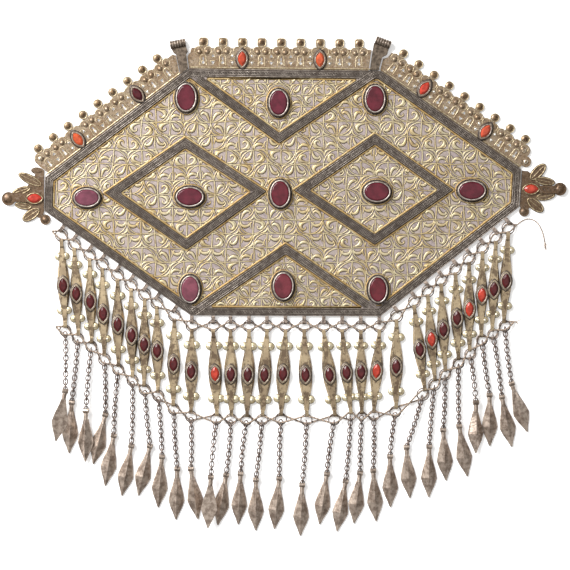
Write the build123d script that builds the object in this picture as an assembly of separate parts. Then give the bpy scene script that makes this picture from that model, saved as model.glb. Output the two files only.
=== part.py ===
from build123d import *
import os
from collections import namedtuple
from math import atan2, ceil, cos, degrees, dist, radians, sin, tan

# Turkmen chest ornament: a silver plate with flat-topped carnelians, gilt pierced crests on its
# three upper sides, two leafy end pieces, two ribbed hanging loops, and twenty-nine hangers below.
# Each hanger is a strap eye on the rim, a ring, a spindle with a pointed stone, a second ring,
# a chain and a kite-shaped drop. Two cords are laced through the rows of rings.
# Millimetres. The ornament lies on its back: X to the right, Y up the chest, Z out of the front.
# The origin is the middle of the plate's back.

os.makedirs("parts", exist_ok=True)

# Plate
sheet_t = 1.2  # the backing sheet
band_w = 4.7  # the dark bands of the rim and of the fields
band_h = 0.9  # how far a band stands off the sheet
gap = 0.1  # left between pieces that meet
plate_corners = [
    (-56.7, 73.9),
    (58.8, 72.6),
    (142.9, 13.6),
    (141.6, -9.0),
    (58.4, -74.6),
    (-55.2, -74.1),
    (-143.0, -11.4),
    (-142.6, 8.8),
]
upper_vee = [(-51.0, 68.0), (-2.2, 32.2), (49.0, 67.0)]  # centre lines of two bent bands
lower_vee = [(-47.0, -67.6), (1.6, -34.3), (50.8, -68.0)]
left_lozenge = [(-58.6, 32.2), (-106.3, -0.6), (-57.9, -34.3), (-10.2, 0.3)]
right_lozenge = [(55.2, 34.6), (7.0, 1.0), (55.0, -31.4), (101.7, 1.2)]

# Main stones, flat-topped ovals in high collets
Stone = namedtuple("Stone", "name x y width height")
main_stones = [
    Stone("stone_top_left", -57.9, 56.4, 10.7, 15.4),
    Stone("stone_top_middle", -2.6, 53.3, 10.2, 14.4),
    Stone("stone_top_right", 55.2, 55.6, 10.5, 15.0),
    Stone("stone_left", -117.4, -3.6, 14.2, 9.6),
    Stone("stone_lozenge_left", -55.8, -3.0, 14.9, 10.2),
    Stone("stone_centre", -1.7, -1.2, 10.5, 14.8),
    Stone("stone_lozenge_right", 56.3, 0.0, 14.5, 10.8),
    Stone("stone_right", 113.1, 0.7, 15.0, 10.2),
    Stone("stone_bottom_left", -55.6, -58.4, 10.2, 14.8),
    Stone("stone_bottom_middle", 0.2, -56.5, 10.7, 14.8),
    Stone("stone_bottom_right", 56.9, -58.6, 9.9, 14.4),
]
collet_wall = 0.85  # the collet's lip, round the stone
collet_foot = 0.6  # how much wider its foot is
collet_top = 4.4
stone_seat = 2.3
stone_top = 5.0
stone_round = 0.9  # the rounding of the stone's upper edge
stone_play = 0.06

# Crests
crest_t = 1.2
crest_z = 0.2
crest_band = 12.6  # from the rim to the shoulders
knob_y = 16.2
knob_r = 2.75
knob_neck_w = 3.8
shoulder_x = 2.9
shoulder_y = 11.1
shoulder_r = 2.6
notch_r = 1.0
boss_x = 2.35  # paired round bosses under each knob
boss_y = 10.3
boss_r = 1.65
boss_h = 1.1
keyhole_y = 3.9
keyhole_r = 0.8
keyhole_slot = (0.75, 3.1)
cusp_holes = [(7.9, 1.15, 90), (4.0, 1.3, 270)]  # height, radius, turn of the two between knobs
crest_knobs = 9
crest_stone_knobs = (2, 6)
crest_stone_y = 6.2

# Pointed stones and their settings: half length, half width of the stone
crest_gem = (4.4, 2.5)
end_gem = (4.3, 2.7)
spindle_gem = (4.4, 2.45)
gem_girdle = 1.1
gem_crown = 0.8
gem_table = 0.6  # the table's share of the outline
gem_sides = 12
setting_wall = 0.85

# Hanging loops
loop_tube_r = 2.45
loop_bore_r = 1.6
loop_tube_l = 9.5
loop_ribs = 6

# Strap eyes, rings, spindles
eye_w = 2.2
eye_r = 1.4
eye_slot_r = 0.78
eye_rib = 0.14
eye_out = 5.1  # how far a rim eye reaches
eye_slot = (-4.6, -1.5)
level_hook = 2.6  # where the ring bears in it, from the rim's lower edge
slanted_hook = 2.9  # and from the two slanted edges
bail_slot = (-0.85, 1.15)  # the slot of a spindle's eye, from where the ring bears
bail_tip = 1.8
axis_z = 1.8  # the height of eyes, rings and chains
ring_wire = 0.38
ring_range = (3.48, 3.65)
top_hook = 26.0  # from a spindle's stone to the ring above, at its usual length
foot_hook = 23.7  # and to the ring below
spindle_back = 0.4
knob_rows = (17.2, -14.9)
spindle_knob_x = 0.55  # shares of the spindle's half width
spindle_knob_r = 0.46
granule_r = 1.0
Station = namedtuple("Station", "y half thick")
spindle_stations = [
    Station(23.4, 0.34, 2.0),
    Station(20.5, 0.44, 2.2),
    Station(17.2, 0.62, 2.3),
    Station(13.8, 0.60, 2.3),
    Station(9.0, 0.82, 2.4),
    Station(4.5, 0.97, 2.5),
    Station(0.0, 1.00, 2.5),
    Station(-4.5, 0.95, 2.5),
    Station(-9.0, 0.78, 2.4),
    Station(-12.6, 0.60, 2.3),
    Station(-14.9, 0.58, 2.3),
    Station(-18.0, 0.46, 2.2),
    Station(-21.4, 0.36, 2.0),
]
edge_t = 0.6  # the thin edge of spindles and drops
ridge_share = 0.62  # the flat front's share of a spindle's width

# Chains and drops
chain_r = 1.6
chain_gap = 0.2
drop_eye_l = 3.6
drop_eye_r = 1.5
drop_bore_r = 0.8
cuff_r = 1.35
drop_back = 0.3
drop_middle = 19.0  # from the eye to the widest place
Cut = namedtuple("Cut", "y half ridge")
drop_cuts = [
    Cut(-5.0, 1.5, 3.0),
    Cut(-9.0, 2.45, 3.3),
    Cut(-14.0, 3.9, 3.7),
    Cut(-19.0, 4.85, 3.9),
    Cut(-23.0, 3.6, 3.2),
    Cut(-27.0, 1.75, 2.1),
    Cut(-30.6, 0.3, 1.2),
]
flange_share = 0.84

# Lacing cords
cord_r = 0.42
cord_lift = 1.25  # how far above or below the rings it runs between them
cord_cross = 0.8  # where it starts to pass through a ring, as a share of the ring's radius

# One row for each hanger: the spindle's stone, the spindle's lean in degrees, its half width,
# the widest place of its drop, the drop's lean, how far the drop is lifted by its neighbour,
# its roll about its length, how far the chain bows sideways, and the radius of the lower ring.
Hanger = namedtuple("Hanger", "x y lean half drop_x drop_y drop_lean lift roll bow loop")
hangers = [
    Hanger(-131.6, -56.2, 2.5, 3.7, -133.8, -137.9, -10.7, 3.4, 190, 0.5, 3.3),
    Hanger(-123.8, -61.0, 2.9, 3.7, -127.6, -145.2, -3.1, 0.0, 0, 0.4, 3.3),
    Hanger(-115.3, -65.7, 1.5, 3.65, -118.4, -150.1, -1.0, 1.6, -10, -0.5, 3.3),
    Hanger(-107.7, -73.2, 1.4, 3.6, -111.0, -152.0, -13.7, 0.0, 0, 0.4, 3.5),
    Hanger(-98.9, -79.5, 0.7, 3.8, -104.7, -164.8, -9.7, 0.0, 0, -0.6, 3.3),
    Hanger(-90.6, -86.0, 1.0, 3.6, -94.5, -170.9, -10.8, 0.0, 0, 0.5, 3.3),
    Hanger(-83.1, -91.5, -0.4, 3.55, -84.1, -170.9, -13.0, 0.0, 0, -0.4, 3.3),
    Hanger(-75.3, -95.2, 0.8, 3.7, -74.0, -177.7, -4.3, 0.0, 0, 0.4, 3.3),
    Hanger(-65.5, -103.2, -0.7, 3.9, -63.9, -185.0, -1.5, 0.0, 0, -0.5, 3.3),
    Hanger(-54.9, -107.6, -0.6, 4.1, -52.6, -184.8, 8.0, 0.0, 0, 0.5, 3.3),
    Hanger(-40.7, -109.0, 2.6, 4.1, -44.2, -189.7, -3.1, 3.4, 180, -0.4, 3.3),
    Hanger(-31.2, -109.3, 0.6, 4.1, -37.2, -188.4, -9.5, 0.0, 0, 0.6, 3.3),
    Hanger(-21.0, -109.6, -1.4, 4.2, -26.3, -187.9, -2.5, 0.0, 0, -0.5, 3.3),
    Hanger(-11.0, -109.6, -3.0, 4.2, -16.3, -191.5, 0.0, 0.0, 0, 0.4, 3.3),
    Hanger(0.1, -109.0, -3.1, 4.2, -4.1, -190.6, -5.4, 0.0, 0, -0.4, 3.3),
    Hanger(13.5, -109.6, 1.9, 4.2, 10.8, -194.6, -2.0, 0.0, 0, 0.5, 3.3),
    Hanger(27.9, -109.6, 7.8, 4.1, 23.6, -187.9, -8.1, 0.0, 0, -0.6, 3.3),
    Hanger(38.1, -108.2, 6.2, 3.6, 34.3, -192.1, -9.7, 0.0, 0, 0.5, 2.6),
    Hanger(46.9, -107.9, 0.7, 3.55, 43.9, -187.3, -6.7, 0.0, 0, -0.4, 2.55),
    Hanger(56.1, -107.3, -4.0, 3.8, 55.2, -186.0, 3.5, 0.0, 0, 0.4, 3.1),
    Hanger(67.9, -104.7, -0.3, 4.1, 64.3, -177.5, 0.5, 0.0, 0, -0.5, 3.3),
    Hanger(81.9, -94.4, 7.3, 3.6, 75.3, -172.0, 4.0, 0.0, 0, 0.6, 3.55),
    Hanger(89.0, -88.3, 5.0, 3.45, 87.5, -171.6, -0.4, 0.0, 0, -0.4, 3.5),
    Hanger(96.1, -82.5, 2.8, 3.6, 97.1, -161.6, 3.4, 0.0, 0, 0.5, 3.3),
    Hanger(104.3, -75.6, 2.0, 3.7, 108.7, -159.2, 9.5, 0.0, 0, -0.5, 3.3),
    Hanger(111.7, -70.3, 0.4, 3.6, 115.6, -145.1, 0.4, 1.6, 10, 0.4, 3.3),
    Hanger(119.2, -61.8, -0.9, 3.4, 123.9, -140.8, 0.5, 0.0, 0, -0.5, 3.2),
    Hanger(126.4, -58.4, -2.4, 3.35, 134.9, -141.5, 11.4, 0.0, 0, 0.4, 3.15),
    Hanger(133.6, -53.4, -2.7, 3.6, 142.9, -132.9, 18.1, 0.0, 0, -0.6, 3.3),
]
left_hangers = range(0, 9)
middle_hangers = range(9, 20)
right_hangers = range(20, 29)
bright_stones = (10, 19, 22, 25, 26)

# The loose end of the upper lacing, from its last ring to its frayed tip
thread_end = [
    (140.4, -19.6),
    (143.6, -16.8),
    (147.9, -15.9),
    (152.0, -17.6),
    (154.6, -21.4),
    (156.2, -25.9),
    (157.1, -30.6),
    (157.5, -34.6),
]
thread_r = 0.42
thread_z = 0.45


def turned(x, y, angle):
    """A place on the ornament, turned about Z."""
    return Pos(x, y, 0) * Rot(0, 0, angle)


def toward(start, end, distance):
    """The point at that distance from start on the way to end."""
    share = distance / dist(start, end)
    return tuple(a + (b - a) * share for a, b in zip(start, end))


def filled(points):
    """A flat face with straight sides, facing up whichever way round its points run."""
    pairs = zip(points, points[1:] + points[:1])
    doubled_area = sum(a[0] * b[1] - b[0] * a[1] for a, b in pairs)
    return Polygon(*(points if doubled_area > 0 else points[::-1]), align=None)


def bent_band(points, width):
    """A flat band of even width about a centre line that bends once or more, with mitred bends."""
    sides = ([], [])
    for i, (x, y) in enumerate(points):
        before = points[max(i - 1, 0)]
        after = points[min(i + 1, len(points) - 1)]
        a_in = atan2(y - before[1], x - before[0]) if i else None
        a_out = atan2(after[1] - y, after[0] - x) if i < len(points) - 1 else a_in
        a_in = a_out if a_in is None else a_in
        middle = (a_in + a_out) / 2
        reach = width / 2 / cos((a_out - a_in) / 2)
        for side, sign in zip(sides, (1, -1)):
            side.append((x - sign * reach * sin(middle), y + sign * reach * cos(middle)))
    return filled(sides[0] + sides[1][::-1])


def inner(face, inset):
    """The face shrunk by inset, with sharp corners kept."""
    return offset(face, amount=-inset, kind=Kind.INTERSECTION)


def lens(half_length, half_width):
    """A pointed oval face, its points on Y."""
    arcs = Curve() + [
        ThreePointArc((0, -half_length), (half_width, 0), (0, half_length)),
        ThreePointArc((0, half_length), (-half_width, 0), (0, -half_length)),
    ]
    return make_face(arcs)


def oval(width, height, z):
    return Pos(0, 0, z) * Ellipse(width / 2, height / 2)


def collet(stone):
    """A high oval cup for a flat-topped stone, wider at its foot."""
    lip_w = stone.width + 2 * collet_wall
    lip_h = stone.height + 2 * collet_wall
    foot = oval(lip_w + 2 * collet_foot, lip_h + 2 * collet_foot, sheet_t / 2)
    cup = loft([foot, oval(lip_w, lip_h, collet_top)])
    pocket = oval(stone.width + 2 * stone_play, stone.height + 2 * stone_play, stone_seat)
    return cup - extrude(pocket, stone_top)


def flat_stone(stone):
    body = extrude(oval(stone.width, stone.height, stone_seat + stone_play), stone_top - stone_seat)
    upper = body.edges().group_by(Axis.Z)[-1]
    return fillet(upper, stone_round)


def gem(size, z):
    """A pointed stone with a table and a ring of sloping facets."""
    half_length, half_width = size
    radius = (half_length**2 + half_width**2) / (2 * half_width)
    swing = 2 * degrees(atan2(half_width, half_length))
    per_side = gem_sides // 2
    outline = []
    for side in (1, -1):
        for k in range(per_side):
            angle = radians(-swing + 2 * swing * k / per_side)
            x = radius * cos(angle) - (radius - half_width)
            outline.append((side * x, side * radius * sin(angle)))
    girdle = filled(outline)
    table = filled([(x * gem_table, y * gem_table) for x, y in outline])
    body = extrude(Pos(0, 0, z) * girdle, gem_girdle)
    rise = z + gem_girdle
    crown = loft([Pos(0, 0, rise) * girdle, Pos(0, 0, rise + gem_crown) * table], ruled=True)
    return body + crown


def setting(size, foot_z, seat_z):
    """The pointed cup round a gem, from foot_z up to just over the gem's girdle."""
    half_length, half_width = size
    wall = lens(half_length + 1.5 * setting_wall, half_width + setting_wall)
    pocket = lens(half_length + stone_play * 2, half_width + stone_play)
    top = seat_z + gem_girdle + 0.15
    cup = extrude(Pos(0, 0, foot_z) * wall, top - foot_z)
    return cup - extrude(Pos(0, 0, seat_z - stone_play) * pocket, top)


def strap_eye(slot_from, slot_to, low, high):
    """A ribbed strap bent into an eye that reaches from low to high along Y, open along X."""

    def bar(radius, start, end, length):
        middle = (start + end) / 2
        profile = SlotOverall(end - start, 2 * radius)
        return Pos(-length / 2, middle, axis_z) * extrude(Plane.YZ * profile, length)

    eye = bar(eye_r - eye_rib, low + eye_rib, high - eye_rib, eye_w)
    for k in (-1, 0, 1):
        rib = bar(eye_r, low, high, eye_w / 3 - 0.3)
        eye += Pos(k * eye_w / 3, 0, 0) * rib
    return eye - bar(eye_slot_r, slot_from, slot_to, 2 * eye_w)


def rim_point(x):
    """The place on the lower rim whose eye hook stands at that x, with the edge's direction."""
    left_turn, low_left, low_right, right_turn = (plate_corners[i] for i in (6, 5, 4, 3))
    edges = [
        (left_turn, low_left, slanted_hook),
        (low_left, low_right, level_hook),
        (low_right, right_turn, slanted_hook),
    ]
    for start, end, reach in edges:
        angle = atan2(end[1] - start[1], end[0] - start[0])
        out = (sin(angle), -cos(angle))
        foot_x = x - reach * out[0]
        if foot_x <= end[0] or end == right_turn:
            share = (foot_x - start[0]) / (end[0] - start[0])
            foot = (foot_x, start[1] + share * (end[1] - start[1]))
            hook = (foot[0] + reach * out[0], foot[1] + reach * out[1])
            return foot, hook, degrees(angle)


def spindle_place(hanger):
    return turned(hanger.x, hanger.y, hanger.lean)


def along_spindle(hanger, distance):
    """A point on the spindle's axis, that far above its stone."""
    lean = radians(hanger.lean)
    return (hanger.x - distance * sin(lean), hanger.y + distance * cos(lean))


def reach_above(hanger):
    """How far above its stone a spindle's ring bears: its neck is as long as its ring leaves it."""
    head = along_spindle(hanger, top_hook)
    radius = dist(head, rim_point(head[0])[1]) / 2
    low, high = ring_range
    return top_hook + 2 * (radius - min(max(radius, low), high))


def drop_eye(hanger):
    """Where the drop's eye lies."""
    lean = radians(hanger.drop_lean)
    return (hanger.drop_x - drop_middle * sin(lean), hanger.drop_y + drop_middle * cos(lean))


def upper_ring(hanger):
    """The centre and radius of the ring between the rim and the spindle."""
    head = along_spindle(hanger, reach_above(hanger))
    hook = rim_point(head[0])[1]
    return ((head[0] + hook[0]) / 2, (head[1] + hook[1]) / 2), dist(head, hook) / 2


def lower_ring(hanger):
    """The centre and radius of the ring between the spindle and the chain."""
    foot = along_spindle(hanger, -foot_hook)
    return toward(foot, drop_eye(hanger), hanger.loop), hanger.loop


def ring(centre, radius):
    return Pos(centre[0], centre[1], axis_z) * Torus(radius, ring_wire)


def rib_section(half, back, edge, top, share):
    """The outline across a spindle or drop: flat back, thin edges, raised front."""
    return [(-half, back), (half, back), (half, edge), (share * half, top), (-share * half, top), (-half, edge)]


def ruled(sections):
    """A solid over straight-sided sections. Each one is a list of (x, z) at its y."""
    wires = [Wire.make_polygon([(x, y, z) for x, z in outline], close=True) for y, outline in sections]
    return Part() + Solid.make_loft(wires, ruled=True)


def spindle_body(half, stretch):
    sections = []
    for station in spindle_stations:
        top = spindle_back + station.thick
        outline = rib_section(station.half * half, spindle_back, spindle_back + edge_t, top, ridge_share)
        y = station.y * (stretch if station.y > 0 else 1)
        sections.append((y, outline))
    return ruled(sections)


def bail(sign, reach, length):
    """The eye at a spindle's upper (+1) or lower (-1) end."""
    slot = [sign * (reach + end) for end in bail_slot]
    ends = [sign * (reach - length), sign * (reach + bail_tip)]
    return strap_eye(min(slot), max(slot), min(ends), max(ends))


def spindle(half, reach):
    """One spindle about its stone: body, knobs with granules, setting, and an eye at each end."""
    stretch = reach / top_hook
    knobs = []
    for row in knob_rows:
        for side in (-1, 1):
            y = row * (stretch if row > 0 else 1)
            place = Pos(side * spindle_knob_x * half, y, spindle_back)
            knobs.append(place * extrude(Circle(spindle_knob_r * half), 1.7))
            knobs.append(place * Pos(0, 0, 1.7) * Sphere(granule_r))
    body = spindle_body(half, stretch) + knobs + [bail(1, reach, 4.2), bail(-1, foot_hook, 3.4)]
    seat = spindle_back + 2.0
    return body + setting(spindle_gem, spindle_back + 1.0, seat) - gem_room(spindle_gem, seat)


def gem_room(size, seat_z):
    """The room that a gem takes in its setting, cut through what else stands there."""
    pocket = lens(size[0] + stone_play * 2, size[1] + stone_play)
    return extrude(Pos(0, 0, seat_z - stone_play) * pocket, 4 * gem_girdle)


def drop():
    """One drop about its eye: a ribbed eye across the top, a cuff, and a ridged kite."""
    tube = Rot(0, 90, 0) * Cylinder(drop_eye_r - eye_rib, drop_eye_l)
    for k in (-1, 0, 1):
        rib = Rot(0, 90, 0) * Cylinder(drop_eye_r, drop_eye_l / 3 - 0.4)
        tube += Pos(k * drop_eye_l / 3, 0, 0) * rib
    cuff = Pos(0, -3.4, 0) * Rot(90, 0, 0) * Cylinder(cuff_r, 4.4)
    head = Pos(0, 0, axis_z) * (tube + cuff - Rot(0, 90, 0) * Cylinder(drop_bore_r, 2 * drop_eye_l))
    sections = []
    for cut in drop_cuts:
        edge = drop_back + edge_t
        flange = flange_share * cut.half
        outline = [
            (-cut.half, drop_back),
            (cut.half, drop_back),
            (cut.half, edge),
            (flange, edge + 0.15),
            (0, cut.ridge),
            (-flange, edge + 0.15),
            (-cut.half, edge),
        ]
        sections.append((cut.y, outline))
    return head + ruled(sections)


def place_drop(body, hanger):
    """The drop at its place: rolled about its length, leant, and lifted."""
    x, y = drop_eye(hanger)
    rolled = Pos(0, 0, axis_z) * Rot(0, hanger.roll, 0) * Pos(0, 0, -axis_z) * body
    return Pos(x, y, hanger.lift) * Rot(0, 0, hanger.drop_lean) * rolled


def tube(route, radius):
    """A tube on straight runs joined by tangent arcs as wide as their runs allow."""
    radii = []
    for before, here, after in zip(route, route[1:], route[2:]):
        into = Vector(*here) - Vector(*before)
        out = Vector(*after) - Vector(*here)
        half_turn = radians(into.get_angle(out)) / 2
        radii.append(0.45 * min(into.length, out.length) / tan(half_turn))
    path = FilletPolyline(*route, radius=radii)
    start = Plane(origin=path @ 0, z_dir=path % 0)
    body = sweep(start * Circle(radius), path=path)
    full = 3.14159 * radius**2 * path.length
    print(f"tube {path.length:.1f} long, least radius {min(radii):.2f}, volume share {body.volume / full:.4f}")
    return body


def chain_tube(hanger):
    """The room of one chain, from the lower ring to the drop's eye."""
    centre, radius = lower_ring(hanger)
    x, y = drop_eye(hanger)
    ring_end = (*centre, axis_z)
    eye_end = (x, y, axis_z + hanger.lift)
    across = atan2(centre[0] - x, centre[1] - y) + radians(hanger.drop_lean)
    eye_reach = drop_eye_r * cos(across) + drop_eye_l / 2 * abs(sin(across))
    start = toward(ring_end, eye_end, radius + ring_wire + chain_gap)
    end = toward(eye_end, ring_end, eye_reach + chain_gap)
    angle = atan2(end[1] - start[1], end[0] - start[0])
    bend = tuple((a + b) / 2 for a, b in zip(start, end))
    bend = (bend[0] - hanger.bow * sin(angle), bend[1] + hanger.bow * cos(angle), bend[2])
    return tube([start, bend, end], chain_r)


def lacing(rings, lead_in, lead_out):
    """A cord laced through a row of rings: down through one, below it to the next, up through that."""
    route = [lead_in]
    lift = cord_lift
    for i, ((x, y), radius) in enumerate(rings):
        before = rings[max(i - 1, 0)][0]
        after = rings[min(i + 1, len(rings) - 1)][0]
        span = dist(before, after)
        step = ((after[0] - before[0]) / span, (after[1] - before[1]) / span)
        reach = cord_cross * radius
        route.append((x - reach * step[0], y - reach * step[1], axis_z + lift))
        route.append((x + reach * step[0], y + reach * step[1], axis_z - lift))
        lift = -lift
    return tube(route + [lead_out], cord_r)


def crest(length, first, end_points, start_points, lobes, square):
    """A pierced strip about the start of its rim edge: X along the edge, Y outwards.

    length is from the first knob to the last. end_points and start_points shape the two ends.
    """
    pitch = length / (crest_knobs - 1)
    knobs = [first + pitch * k for k in range(crest_knobs)]
    body = filled(start_points + end_points)
    heads = RectangleRounded(2 * knob_r, 2 * knob_r, 1.5) if square else Circle(knob_r)
    for x in knobs:
        body += Pos(x, knob_y) * heads
        body += Pos(x, (crest_band + knob_y) / 2) * Rectangle(knob_neck_w, knob_y - crest_band + 1)
        for side in (-1, 1):
            body += Pos(x + side * shoulder_x, shoulder_y) * Circle(shoulder_r)
    for x, y, r in lobes:
        body += Pos(x, y) * Circle(r)
    between = [x + pitch / 2 for x in knobs[:-1]]
    for x in between:
        body -= Pos(x, shoulder_y + shoulder_r + 0.3) * Circle(notch_r)
        for y, r, turn in cusp_holes:
            body -= Pos(x, y) * RegularPolygon(r, 3, rotation=turn)
    bosses = []
    gems = []
    for k, x in enumerate(knobs):
        if k in crest_stone_knobs:
            gems.append((x, crest_stone_y))
            continue
        body -= Pos(x, keyhole_y) * Circle(keyhole_r)
        body -= Pos(x, keyhole_y + keyhole_slot[1] / 2) * Rectangle(*keyhole_slot)
        bosses += [(x - boss_x, boss_y), (x + boss_x, boss_y)]
    bosses += [(x, y) for x, y, r in lobes]
    strip = extrude(Pos(0, 0, crest_z) * body, crest_t)
    front = crest_z + crest_t
    domes = []
    for x, y in bosses:
        domes.append(Pos(x, y, front) * dome(boss_r, boss_h))
    for x in knobs:
        domes.append(Pos(x, knob_y, front) * dome(knob_r - 0.6, 0.7))
    cups = [Pos(x, y, 0) * setting(crest_gem, crest_z + 0.4, front) for x, y in gems]
    stones = [Pos(x, y, 0) * gem(crest_gem, front) for x, y in gems]
    rooms = [Pos(x, y, 0) * gem_room(crest_gem, front) for x, y in gems]
    return strip + domes + cups - rooms, stones


def dome(radius, height):
    """A round boss, a cap of a ball, set 0.2 into what carries it."""
    ball_r = (radius**2 + height**2) / (2 * height)
    cap = Pos(0, 0, height - ball_r) * Sphere(ball_r)
    return cap & Pos(0, 0, height / 2 - 0.1) * Cylinder(2 * radius, height + 0.2)


def leaf(x, y, length, width, angle):
    return turned(x, y, angle) * Ellipse(length / 2, width / 2)


def end_piece(base, leaves, lobe, gem_at, strap, tip):
    """A leafy end piece: lobes, a pointed stone lying along X, and a strap to a round tip."""
    face = filled(base)
    for row in leaves:
        face += leaf(*row)
    face += Pos(lobe[0], lobe[1]) * Circle(lobe[2])
    plate_part = extrude(Pos(0, 0, crest_z) * face, crest_t)
    front = crest_z + crest_t
    (x0, x1), strap_y, strap_w = strap
    bar = Pos((x0 + x1) / 2, strap_y, crest_z + 1.2) * Box(abs(x1 - x0), strap_w, 2.4)
    knob = Pos(tip[0], tip[1], crest_z) * extrude(Circle(tip[2]), 2.1)
    raised = [bar, knob, Pos(tip[0], tip[1], crest_z + 2.1) * dome(tip[2] - 1.2, 0.8)]
    raised.append(Pos(lobe[0], lobe[1], front) * dome(lobe[2] - 1.0, 0.8))
    for x, y, length, width, angle in leaves:
        swell = turned(x, y, angle) * Ellipse(length / 2 - 1.2, width / 2 - 1.2)
        raised.append(extrude(Pos(0, 0, front - 0.1) * swell, 0.6))
    place = turned(gem_at[0], gem_at[1], 90)
    raised.append(place * setting(end_gem, crest_z + 0.4, front))
    metal = plate_part + raised - place * gem_room(end_gem, front)
    return metal, place * gem(end_gem, front)


def hanging_loop(outline, x, y, angle):
    """A strap on the rim that carries a ribbed tube for a cord."""
    strap = extrude(Pos(0, 0, 0.4) * filled(outline), 2.4)
    rib_pitch = loop_tube_l / loop_ribs
    ribs = Cylinder(loop_tube_r - 0.25, loop_tube_l)
    for k in range(loop_ribs):
        z = (k + 0.5) * rib_pitch - loop_tube_l / 2
        ribs += Pos(0, 0, z) * Cylinder(loop_tube_r, rib_pitch * 0.55)
    place = Pos(x, y, loop_tube_r + 0.1) * Rot(0, 0, angle) * Rot(0, 90, 0)
    return strap + place * ribs - place * Cylinder(loop_bore_r, 2 * loop_tube_l)


def write(name, shapes):
    """One file for each named node. A node of several solids holds them side by side."""
    whole = Compound(label=name, children=[s for s in shapes])
    export_step(whole, f"parts/{name}.step")


def solids(shapes):
    found = []
    for shape in shapes:
        found += shape.solids()
    return found


# Plate with its bands, collets and rim eyes: one soldered piece
outline = filled(plate_corners)
bands = outline - inner(outline, band_w)
bands += bent_band(upper_vee, band_w)
bands += bent_band(lower_vee, band_w)
for corners in (left_lozenge, right_lozenge):
    field = filled(corners)
    bands += field - inner(field, band_w)
bands &= outline
plate = extrude(outline, sheet_t) + extrude(Pos(0, 0, sheet_t) * bands, band_h)
eyes = []
rim_eye = strap_eye(*eye_slot, -eye_out, 0.6)
for hanger in hangers:
    foot, hook, edge_angle = rim_point(along_spindle(hanger, reach_above(hanger))[0])
    eyes.append(turned(*foot, edge_angle) * rim_eye)
collets = [Pos(stone.x, stone.y, 0) * collet(stone) for stone in main_stones]
pockets = []
for stone in main_stones:
    pocket = oval(stone.width + 2 * stone_play, stone.height + 2 * stone_play, stone_seat)
    pockets.append(Pos(stone.x, stone.y, 0) * extrude(pocket, stone_top))
plate = plate + eyes + collets - pockets
write("plate", solids([plate]))
for stone in main_stones:
    write(stone.name, solids([Pos(stone.x, stone.y, 0) * flat_stone(stone)]))

# Crests on the three upper sides
Edge3 = namedtuple("Edge3", "name stones start end first length start_points end_points lobes square")
top_left, top_right, right_high, right_low = plate_corners[:4]
left_high = plate_corners[7]
crests = [
    Edge3(
        "crest_left",
        ("crest_stone_left_low", "crest_stone_left_high"),
        left_high,
        top_left,
        7.1,
        89.4,
        [(2.4, crest_band), (1.0, 8.0), (3.4, gap)],
        [(101.4, gap), (106.5, 11.0), (105.2, crest_band)],
        [(4.6, 10.5, 3.8)],
        False,
    ),
    Edge3(
        "crest_top",
        ("crest_stone_top_left", "crest_stone_top_right"),
        top_left,
        top_right,
        8.8,
        93.4,
        [(1.8, crest_band), (1.0, 9.8), (-0.7, 7.6), (0.3, gap)],
        [(108.0, gap), (109.6, crest_band)],
        [],
        True,
    ),
    Edge3(
        "crest_right",
        ("crest_stone_right_high", "crest_stone_right_low"),
        top_right,
        right_high,
        5.1,
        89.3,
        [(-1.0, crest_band), (-1.3, 8.9), (-3.2, 6.6), (-0.7, gap)],
        [(101.2, gap), (102.0, 4.0), (98.0, crest_band)],
        [(97.6, 10.0, 3.9), (102.3, 5.2, 3.3)],
        False,
    ),
]
for row in crests:
    angle = degrees(atan2(row.end[1] - row.start[1], row.end[0] - row.start[0]))
    strip, stones = crest(row.length, row.first, row.end_points, row.start_points, row.lobes, row.square)
    place = turned(*row.start, angle)
    write(row.name, solids([place * strip]))
    for stone_name, stone in zip(row.stones, stones):
        write(stone_name, solids([place * stone]))

# Leafy end pieces
left_end, left_gem = end_piece(
    [
        (-143.25, 13.0),
        (-147.5, 12.0),
        (-153.0, 4.0),
        (-158.0, -1.0),
        (-158.0, -7.0),
        (-152.0, -12.0),
        (-146.0, -15.8),
        (-143.9, -14.5),
        (-143.25, -11.5),
    ],
    [
        (-147.3, 12.7, 7.6, 4.2, -5),
        (-151.5, 7.4, 16.0, 5.8, -26.6),
        (-156.8, 0.7, 12.0, 4.8, 18),
        (-155.7, -8.3, 10.5, 4.6, -10),
        (-150.9, -13.6, 12.5, 6.4, 34),
    ],
    (-142.5, -16.6, 3.1),
    (-148.9, -3.9),
    ((-164.5, -152.6), -3.4, 5.4),
    (-164.5, -4.1, 4.1),
)
right_end, right_gem = end_piece(
    [
        (143.2, 12.8),
        (147.0, 12.5),
        (151.0, 8.5),
        (154.0, 5.0),
        (154.0, -3.0),
        (150.0, -8.0),
        (145.5, -11.5),
        (142.6, -9.6),
        (141.9, -8.7),
    ],
    [
        (152.8, 11.9, 13.2, 6.6, 46),
        (157.0, 6.4, 12.5, 5.4, -10),
        (157.4, -2.5, 12.0, 5.4, 10),
        (151.2, -7.8, 12.5, 6.6, -40),
    ],
    (144.6, -11.8, 3.0),
    (148.6, 1.7),
    ((166.0, 153.6), 1.4, 4.6),
    (166.0, 1.7, 3.9),
)
write("terminal_left", solids([left_end]))
write("terminal_stone_left", solids([left_gem]))
write("terminal_right", solids([right_end]))
write("terminal_stone_right", solids([right_gem]))

# Hanging loops at the two upper corners
left_strap = [
    (-67.0, 85.9),
    (-58.2, 87.6),
    (-57.0, 84.0),
    (-58.0, 82.6),
    (-56.85, 74.05),
    (-61.5, 70.45),
    (-64.1, 82.4),
    (-65.6, 83.2),
]
right_strap = [(54.4, 89.2), (63.6, 86.0), (62.4, 82.2), (59.6, 80.7), (57.3, 72.8), (52.0, 72.85)]
write("hanging_loop_left", solids([hanging_loop(left_strap, -63.0, 88.7, 10.6)]))
write("hanging_loop_right", solids([hanging_loop(right_strap, 60.0, 89.5, -20)]))

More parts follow.
